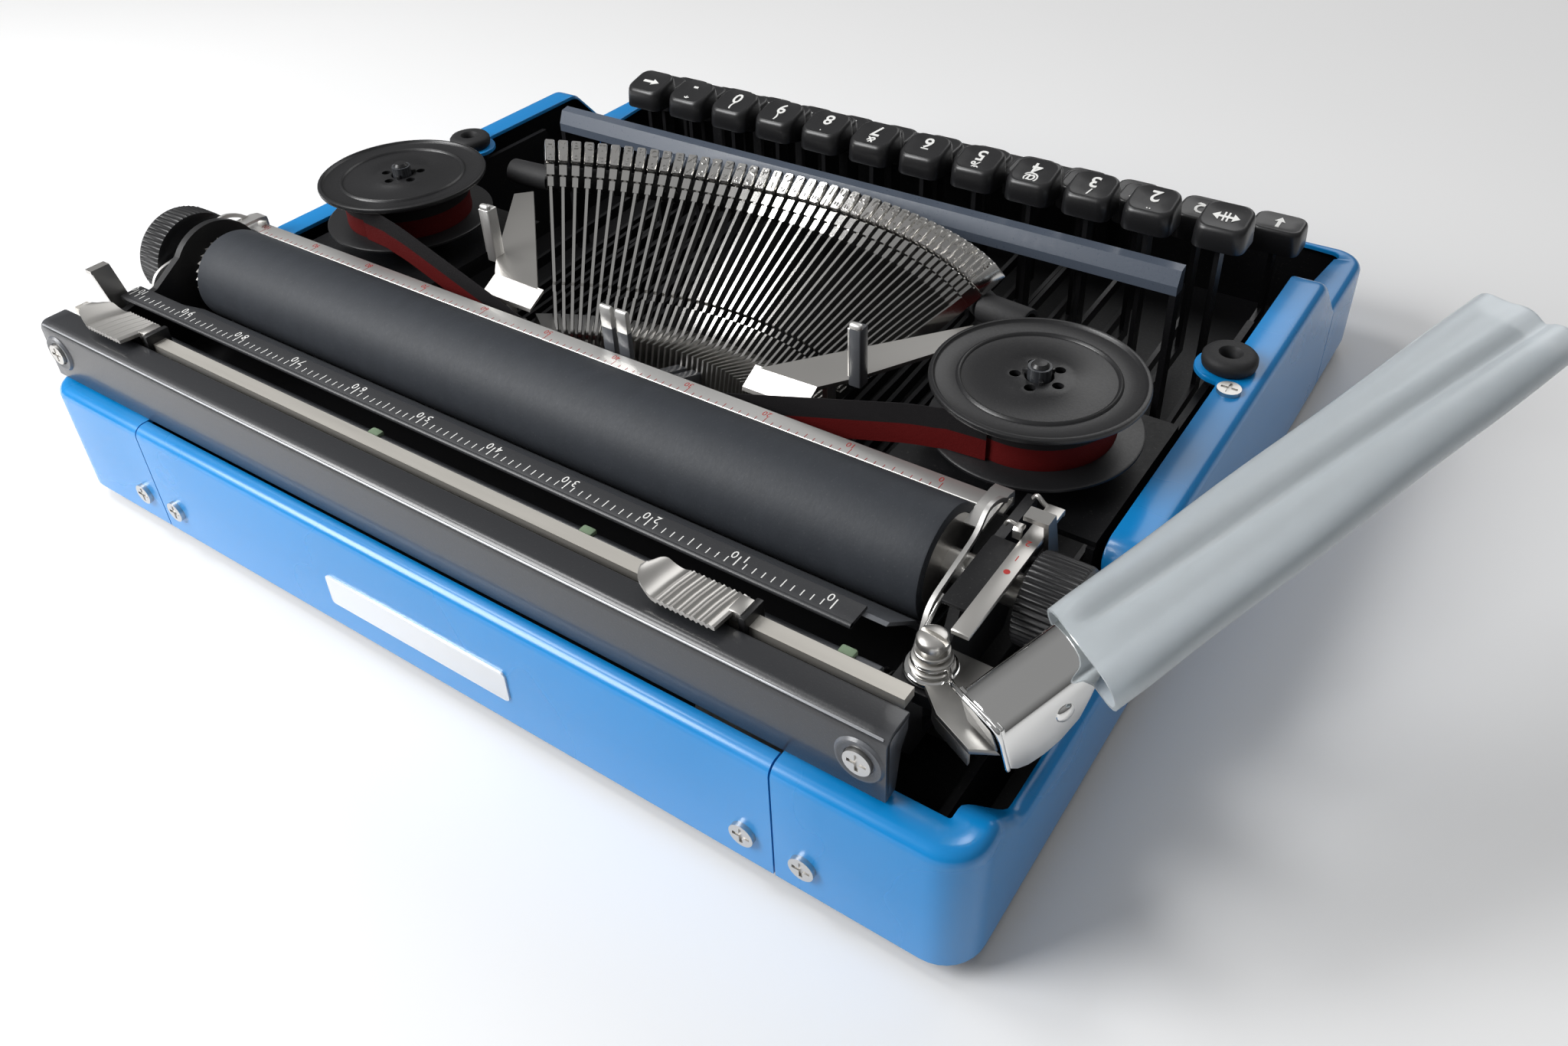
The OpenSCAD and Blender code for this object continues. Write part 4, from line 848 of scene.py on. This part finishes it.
def oval(w, t):
    """Flat ring of two straight runs, finely divided on top, and two half rounds."""
    half, r = (w - t) / 2, t / 2
    out = [(lerp(half, -half, i / 16), r) for i in range(16)]
    out += [(-half + r * math.cos(a), r * math.sin(a)) for a in spread(math.pi / 2, 3 * math.pi / 2, 10)]
    out += [(lerp(-half, half, i / 4), -r) for i in range(1, 4)]
    out += [(half + r * math.cos(a), r * math.sin(a)) for a in spread(-math.pi / 2, math.pi / 2, 10)[:-1]]
    return out


def sleeve_ring(s, shrink):
    """Section of the sleeve s along the lever: an oval with a slanting mouth and a long fold on top."""
    t = (s - 24) / 136
    mouth = hump(s, SLEEVE_START, 5.0)
    w = SLEEVE_W - 2 * shrink + 0.35 * math.sin(s * 0.11) - 0.6 * mouth
    h = SLEEVE_H - 2 * shrink + 0.3 * math.sin(s * 0.07 + 1) + 0.4 * mouth
    ring = []
    for x, z in oval(w, h):
        slant = 2.2 * mouth * (x / 12.0)
        v = x - 3.5 + 8.5 * t
        fold = 1.25 * hump(v, 0, 1.5) - 0.9 * hump(v, 4.5, 2.6) - 0.45 * hump(v, -4.5, 2.6)
        crease = fold * (1 - mouth) if z > h / 2 - 0.4 else 0
        ring.append(lever_frame @ Vector((x - 3.0, -s - slant, z - 2.75 - crease)))
    return ring


stops = spread(SLEEVE_START, 30, 9) + spread(33, 139, 36) + spread(141, SLEEVE_END, 5)
b = Build()
b.loft([sleeve_ring(s, 0) for s in stops] + [sleeve_ring(s, SLEEVE_T) for s in stops[::-1]], loop=True)
b.make("lever_grip_sleeve", sleeve_plastic, "lever", "sleeve_plastic", ["lever_sleeve"], angle=60)

# Line-space strip: level strip on its dark support, two hooks and the marks

SPACE_X, SPACE_H = -134.6, 59.2
b = Build()
b.prism([(33.5, 59.0), (34.0, SPACE_H), (79.6, SPACE_H), (80, 58.8), (80, 57.4), (79.2, 57.4), (79.2, 58.0),
         (33.5, 58.0)], SPACE_X - 2, SPACE_X + 2)
b.block((-133, -126.6), (40, 64), (58.0, 59.0), 1, 0.25)
b.tube(spline([P(-132.9, 79, 58.6), P(-131.6, 79, 59.4), P(-130.0, 79.2, 60.6), P(-129.0, 79.4, 59.4)], 5),
       0.6, 10)
b.prism([(65.6, 58.6), (65.6, 60.8), (66.2, 61.4), (68, 61.4), (68, 60.6), (66.6, 60.6), (66.4, 58.6)],
        -132.4, -130.4)
b.tube(spline([P(-130.6, 67.2, 61.0), P(-128.8, 67.2, 61.4), P(-128.0, 67.2, 60.2)], 5), 0.5, 10)
b.make("space_strip", [satin_plate, pan_and_shade_black], "carriage", "steel", ["line_space_plate"], bevel=0.15)
b = Build()
b.lathe([(0.01, 0), (0.75, 0), (0.75, 0.06), (0.01, 0.06)], P(SPACE_X, 54.5, SPACE_H - 0.01), seg=24,
        loop=False)
for word, d in (("1", 59.5), ("2", 65.0)):
    b.text(word, 2.6, Matrix.Translation(P(SPACE_X, d, SPACE_H)))
b.make("strip_marks", red_ink, "carriage", "steel")

# Keys: dished caps on their levers, with legends

SHAFT_D, SHAFT_H = 66.0, 9.0
LEVER_HALF = 0.75
PITCH = 19.05
CAP_W, CAP_DEPTH, CAP_T = 15.4, 13.4, 8.5
DISH = 0.36
BOLD = 0.012
LEAN = [math.tan(math.radians(a)) for a in (14, 6, 4, 2)]
KEY_MATS = [key_black, white_ink, wire_black]
RELEASE_X, FIRST_X, LOCK_X = -127.9, -106.3, -111.05
SHIFT_X, SHIFT_W = (-131.2, 113.0), 17.4
SPACER_D, SPACER_TOP, SPACER_W, SPACER_DEPTH = 281, 40, 130, 11


def row_place(row):
    return 207 + 18.5 * row, 74 - 8.5 * row


def cap_rings(x, d, top, w, depth, lean):
    """Rings of a cap from below to the dished top: height, how much is cut off, and corner radius."""
    rows = [(-CAP_T, 0.4, 3.0), (-CAP_T + 0.4, 0.0, 3.3), (-3.2, 0.25, 3.5), (-1.4, 0.6, 3.5),
            (-0.6, 1.1, 3.4), (-0.18, 1.8, 3.3), (0.0, 2.5, 3.1), (-0.06, 3.3, 2.9), (-0.3, 6.0, 2.3),
            (-0.45, 9.4, 1.2)]
    return [[P(x + u, d - v, top + z - v * lean * (CAP_T + z) / CAP_T)
             for u, v in round_rect(w - less, max(1.2, depth - less * 0.92), r, 5)] for z, less, r in rows]


def key_arm(b, x, d, top):
    """Key lever from the shaft to the stem under its cap."""
    h = SHAFT_H
    b.prism([(SHAFT_D, h - 2), (130, h - 2.2), (d - 10, 12.4), (d + 2.5, 12.8), (d + 2.5, top),
             (d - 2.5, top), (d - 2.5, 17), (d - 12, 16.4), (130, h + 2), (SHAFT_D, h + 2)],
            x - LEVER_HALF, x + LEVER_HALF, 2)
    b.lathe([(2.6, -LEVER_HALF), (4.5, -LEVER_HALF), (4.5, LEVER_HALF), (2.6, LEVER_HALF)],
            P(x, SHAFT_D, h), "x", 32, 2)


def key(b, x, row, w=CAP_W):
    d, top = row_place(row)
    key_arm(b, x, d, top - CAP_T + 0.5)
    b.loft(cap_rings(x, d, top, w, CAP_DEPTH, LEAN[row]))


def on_cap(x, row, off=0.0):
    """Frame on a cap's dished top, off towards the rear."""
    d, top = row_place(row)
    return turned(P(x, d - off, top - DISH - off * LEAN[row]), -math.atan(LEAN[row]), "X")


def legend(b, x, row, upper, lower=None):
    if lower is None:
        b.text(upper, 6.8, on_cap(x, row), 1, 0.3, BOLD)
    else:
        b.text(upper, 5.0, on_cap(x, row, 3.1), 1, 0.3, BOLD)
        b.text(lower, 7.0, on_cap(x, row, -1.9), 1, 0.3, BOLD)


def arrow(b, x, row, turn=0, size=1.0, double=False):
    if double:
        half = [(-2, 1.7), (-2, 0.4), (-0.85, 0.4), (-0.85, 2.0), (-0.35, 2.0), (-0.35, 0.4)]
        half += [(-u, v) for u, v in half[::-1]]
        pts = [(-4, 0)] + half + [(4, 0)] + [(u, -v) for u, v in half[::-1]]
    else:
        pts = [(-3.6, 0), (-0.6, 1.7), (-0.8, 0.6), (3.2, 0.6), (3.2, -0.6), (-0.8, -0.6), (-0.6, -1.7)]
    f = on_cap(x, row) @ Matrix.Rotation(math.radians(turn), 4, "Z") @ Matrix.Scale(size, 4)
    b.flat(pts, f, 0.12, 1)


def key_piece(b, node):
    b.make(node + "_piece", KEY_MATS, node + "_body", "key_plastic", [node], angle=42)


NUMBERS = [("key_2", '"', "2"), ("key_3", "/", "3"), ("key_4", "@", "4"), ("key_5", "%", "5"),
           ("key_6", "_", "6"), ("key_7", "&", "7"), ("key_8", "'", "8"), ("key_9", "(", "9"),
           ("key_0", ")", "0"), ("hyphen_key", "*", "-"), ("backspace_key", None, None)]
for i, (node, upper, lower) in enumerate(NUMBERS):
    b = Build()
    x = FIRST_X + PITCH * i
    key(b, x, 0)
    if upper:
        legend(b, x, 0, upper, lower)
    else:
        arrow(b, x, 0)
    key_piece(b, node)
b = Build()
key(b, RELEASE_X, 0)
arrow(b, RELEASE_X, 0, double=True)
key_piece(b, "margin_release_key")

for node, row, x0, words in (("upper_row_keys", 1, -116.0, "QWERTYUIOP+="),
                             ("home_row_keys", 2, -92.0, "ASDFGHJKL;:"),
                             ("bottom_row_keys", 3, -82.5, "ZXCVBNM,.?")):
    b = Build()
    for k, word in enumerate(words):
        key(b, x0 + PITCH * k, row)
        legend(b, x0 + PITCH * k, row, word)
    key_piece(b, node)

b = Build()
key(b, LOCK_X, 2)
arrow(b, LOCK_X, 2, -90, 0.9)
key_piece(b, "shift_lock")

b = Build()
for x in SHIFT_X:
    key(b, x, 3, SHIFT_W)
    arrow(b, x, 3, 90)
b.tube([P(x, 57.5, SHAFT_H) for x in spread(*SHIFT_X, 12)], 1.5, 16, 2)
for x in SHIFT_X:
    b.prism([(56, 7.4), (SHAFT_D, 6.9), (SHAFT_D, 11.1), (56, 10.6)], x - LEVER_HALF, x + LEVER_HALF, 2)
key_piece(b, "shift_keys")

b = Build()
for x in (-61.3, 58.2):
    key_arm(b, x, SPACER_D, SPACER_TOP - 5)
rows = [(-6, 0.3, 3.0), (-5.6, 0, 3.2), (-3, 0.4, 3.2), (-1.6, 1.2, 3.0), (-0.6, 2.6, 2.6), (-0.1, 4.6, 2.0),
        (0.05, 7.0, 1.4), (0.1, 9.4, 0.7)]
b.loft([[P(u, SPACER_D - v, SPACER_TOP + z)
         for u, v in round_rect(SPACER_W - less, SPACER_DEPTH - less, r, 6)] for z, less, r in rows])
key_piece(b, "space_bar")

# Type basket: rubber rest with open ends, bars with their slugs, guides

TILT = math.radians(15)
RISE = math.radians(46.5)
FAN = math.radians(48)
BASKET = P(0, 71.0417, 61.6631)
PIVOT_R, PIVOT_DROP = 63.0, 20.0
BAR = math.hypot(PIVOT_R, PIVOT_DROP)
BARS, MIDDLE = 43, 21
BAR_HALF = 0.48
TYPES = "qazwsxedcrfvtgbyhnujmikolp"


def basket(x, y, z):
    """Point of the tilted basket, measured from the middle of its ring."""
    c, s = math.cos(TILT), math.sin(TILT)
    return BASKET + Vector((x, y * c - z * s, y * s + z * c))


def bar_point(a, u, w, x=0.0):
    """Point of the bar at angle a: u along it, w up from it, x across it."""
    r = PIVOT_R + u * math.cos(RISE) - w * math.sin(RISE)
    n = -PIVOT_DROP + u * math.sin(RISE) + w * math.cos(RISE)
    return basket(r * math.sin(a) + x * math.cos(a), -r * math.cos(a) + x * math.sin(a), n)


REST_R, REST_U, REST_W = 4.2, 61.0, -9.1
REST_TURN = math.radians(10)
b = Build()
b.tube([bar_point(a, REST_U, REST_W) for a in spread(-FAN, FAN, 61)], REST_R, 24)
end = Build()
end.lathe([(REST_R, -1.4), (REST_R, 13.5), (REST_R - 0.3, 14), (2.9, 14), (2.6, 13.5), (2.6, 5), (0.5, 4.6),
           (0.5, -1.4)], (0, 0, 0), "x", 32)
for side in (-1, 1):
    out = basket(side * math.cos(REST_TURN), math.sin(REST_TURN), 0) - BASKET
    up = out.cross(Vector((0, 1, 0))).normalized()
    root = Matrix.Translation(bar_point(side * FAN, REST_U, REST_W))
    b.join(end, root @ Matrix((out, up, out.cross(up))).transposed().to_4x4())
b.make("type_rest_tube", rubber, "basket", "rubber", ["type_rest"])

BAR_SIDE = [(-3.4, -0.9), (-2.4, -2.5), (0, -3.4), (2.6, -2.4), (4.5, -1.6), (20, -2.0), (BAR - 21, -4.6),
            (BAR - 3, -4.6), (BAR - 3, -1.6), (17.6, 1.1), (17.0, 0.0), (14.6, 0.0), (14.0, 1.3), (4.5, 1.6),
            (2.6, 2.4), (0, 3.4), (-2.4, 2.5), (-3.4, 0.9)]
SLUG_W, SLUG_L, SLUG_TOP = 3.2, 8.4, 0.95
SLUG_ROWS = [(-4.6, 0.5), (-4.2, 0.1), (0.6, 0.0), (1.05, 0.5)]
SLUG_STEPS = [(-4.7, -8.6, 1.25, -0.3), (-9.0, -12.6, 0.95, -0.9)]
TYPE_OFF = 2.05


def type_bar(b, k):
    """One bar with its stepped slug and its two mirrored letters."""
    a = lerp(-FAN, FAN, k / (BARS - 1))
    b.loft([[bar_point(a, u, w, x) for u, w in BAR_SIDE] for x in (-BAR_HALF, BAR_HALF)])
    b.loft([[bar_point(a, BAR + v, w, u) for u, v in round_rect(SLUG_W - less, SLUG_L - less, 0.5, 2)]
            for w, less in SLUG_ROWS])
    for far, near, half, top in SLUG_STEPS:
        corners = ((-half, near), (half, near), (half, far), (-half, far))
        b.loft([[bar_point(a, BAR + v, w, u) for u, v in corners] for w in (-4.5, top)])
    letter = TYPES[k % len(TYPES)]
    for off, word in ((-TYPE_OFF, letter), (TYPE_OFF, letter.upper())):
        at = bar_point(a, BAR + off, SLUG_TOP)
        axes = [bar_point(a, BAR + off, SLUG_TOP, -1) - at, bar_point(a, BAR + off + 1, SLUG_TOP) - at,
                bar_point(a, BAR + off, SLUG_TOP + 1) - at]
        f = Matrix.Translation(at) @ Matrix(axes).transposed().to_4x4()
        b.text(word, 3.5, f @ Matrix.Translation((0, 0, 0.2)), 0, 0.6)


b = Build()
for k in range(BARS):
    if k != MIDDLE:
        type_bar(b, k)
b.make("type_bars", bright, "basket", "chrome", ["typebars"])
b = Build()
type_bar(b, MIDDLE)
b.make("swinging_type_bar", bright, "typebar", "chrome", ["moving_typebar"])

POST_X = 66.6
PRONG_X = (0.9, 4.7)
b = Build()
for side in (-1, 1):
    x = side * POST_X
    b.block((x - 2, x + 2), (103.5, 107.5), (53, 71.2), int(side > 0), 0.5)
    b.block((x - 1.9, x + 1.9), (103.5, 105.6), (70.4, 72.5), 1, 0.8)
    b.block((x + 1.2, x + 2.05), (103.45, 104.0), (56, 71), 1, 0.2)
    x0, x1 = sorted(side * x for x in PRONG_X)
    b.prism([(115.7, 24), (115.7, 29), (92, 38), (87.2, 46), (87.0, 59.1), (85.2, 59.1), (85.2, 44), (89, 35),
             (109.7, 24)], x0, x1)
    b.prism([(87.1, 59), (86.9, 65.3), (86.4, 66), (85.6, 66), (85.2, 65.3), (85.2, 59)],
            x0 + 0.03, x1 - 0.03, 1)
b.make("type_guides", [satin_black, aluminium], "basket", "black_paint", ["ribbon_guides"], bevel=0.2)

# Camera at the place that fits the photograph


def look(az, el, roll, place, lens, shift):
    az, el, roll = (math.radians(a) for a in (az, el, roll))
    back = Vector((math.sin(az) * math.cos(el), -math.cos(az) * math.cos(el), math.sin(el)))
    right = (-back).cross(Vector((0, 0, 1))).normalized()
    up = right.cross(-back)
    r = right * math.cos(roll) + up * math.sin(roll)
    u = up * math.cos(roll) - right * math.sin(roll)
    cam = bpy.data.cameras.new("camera")
    cam.sensor_fit, cam.sensor_width, cam.lens = "HORIZONTAL", 36.0, lens
    cam.shift_x, cam.shift_y = shift
    cam.clip_start, cam.clip_end = 0.01, 20
    m = Matrix((r, u, back)).transposed().to_4x4()
    m.translation = Vector(place) * MM
    ob = placed("camera", cam)
    ob.matrix_world = m
    bpy.context.scene.camera = ob


look(az=215.4036, el=35.6185, roll=-2.2318, place=(-211.808, 277.524, 248.459), lens=29.0756,
     shift=(-0.002366, -0.070712))

# Pale floor and soft light, in metres

FLOOR_HALF = 3.0
floor = bpy.data.meshes.new("floor")
floor.from_pydata([(x * FLOOR_HALF, y * FLOOR_HALF, 0) for x, y in ((-1, -1), (1, -1), (1, 1), (-1, 1))], [],
                  [(0, 1, 2, 3)])
floor.materials.append(material("pale_table", (0.86, 0.86, 0.86), 0.6, vary=0.015, broad=3, grain=120,
                                bump=0.02, spec=0.2))
placed("floor", floor)


LIGHT_AIM = Vector((0, 0.02, 0.03))


def lamp(name, place, size, power):
    data = bpy.data.lights.new(name, "AREA")
    data.shape, data.size, data.energy = "DISK", size, power
    ob = placed(name, data)
    ob.location = place
    ob.rotation_euler = (LIGHT_AIM - Vector(place)).to_track_quat("-Z", "Y").to_euler()


lamp("window", (0.55, 0.66, 0.62), 0.6, 11.5)
lamp("skylight", (0.72, 0.20, 1.22), 0.42, 4.5)
lamp("front", (-0.1, -1.1, 0.95), 1.0, 4)

world = bpy.data.worlds.new("studio")
bpy.context.scene.world = world
world.use_nodes = True
nodes, link = world.node_tree.nodes, world.node_tree.links.new
sky = nodes["Background"]
where = nodes.new("ShaderNodeTexCoord")
split = nodes.new("ShaderNodeSeparateXYZ")
ramp = nodes.new("ShaderNodeValToRGB")
for element, position, level in zip(ramp.color_ramp.elements, (0.0, 0.8), (0.30, 1.0)):
    element.position, element.color = position, (level, level, level, 1)
link(where.outputs["Generated"], split.inputs[0])
link(split.outputs["Z"], ramp.inputs["Fac"])
link(ramp.outputs["Color"], sky.inputs["Color"])
sky.inputs["Strength"].default_value = 0.30

bpy.context.scene.view_settings.view_transform = "Standard"
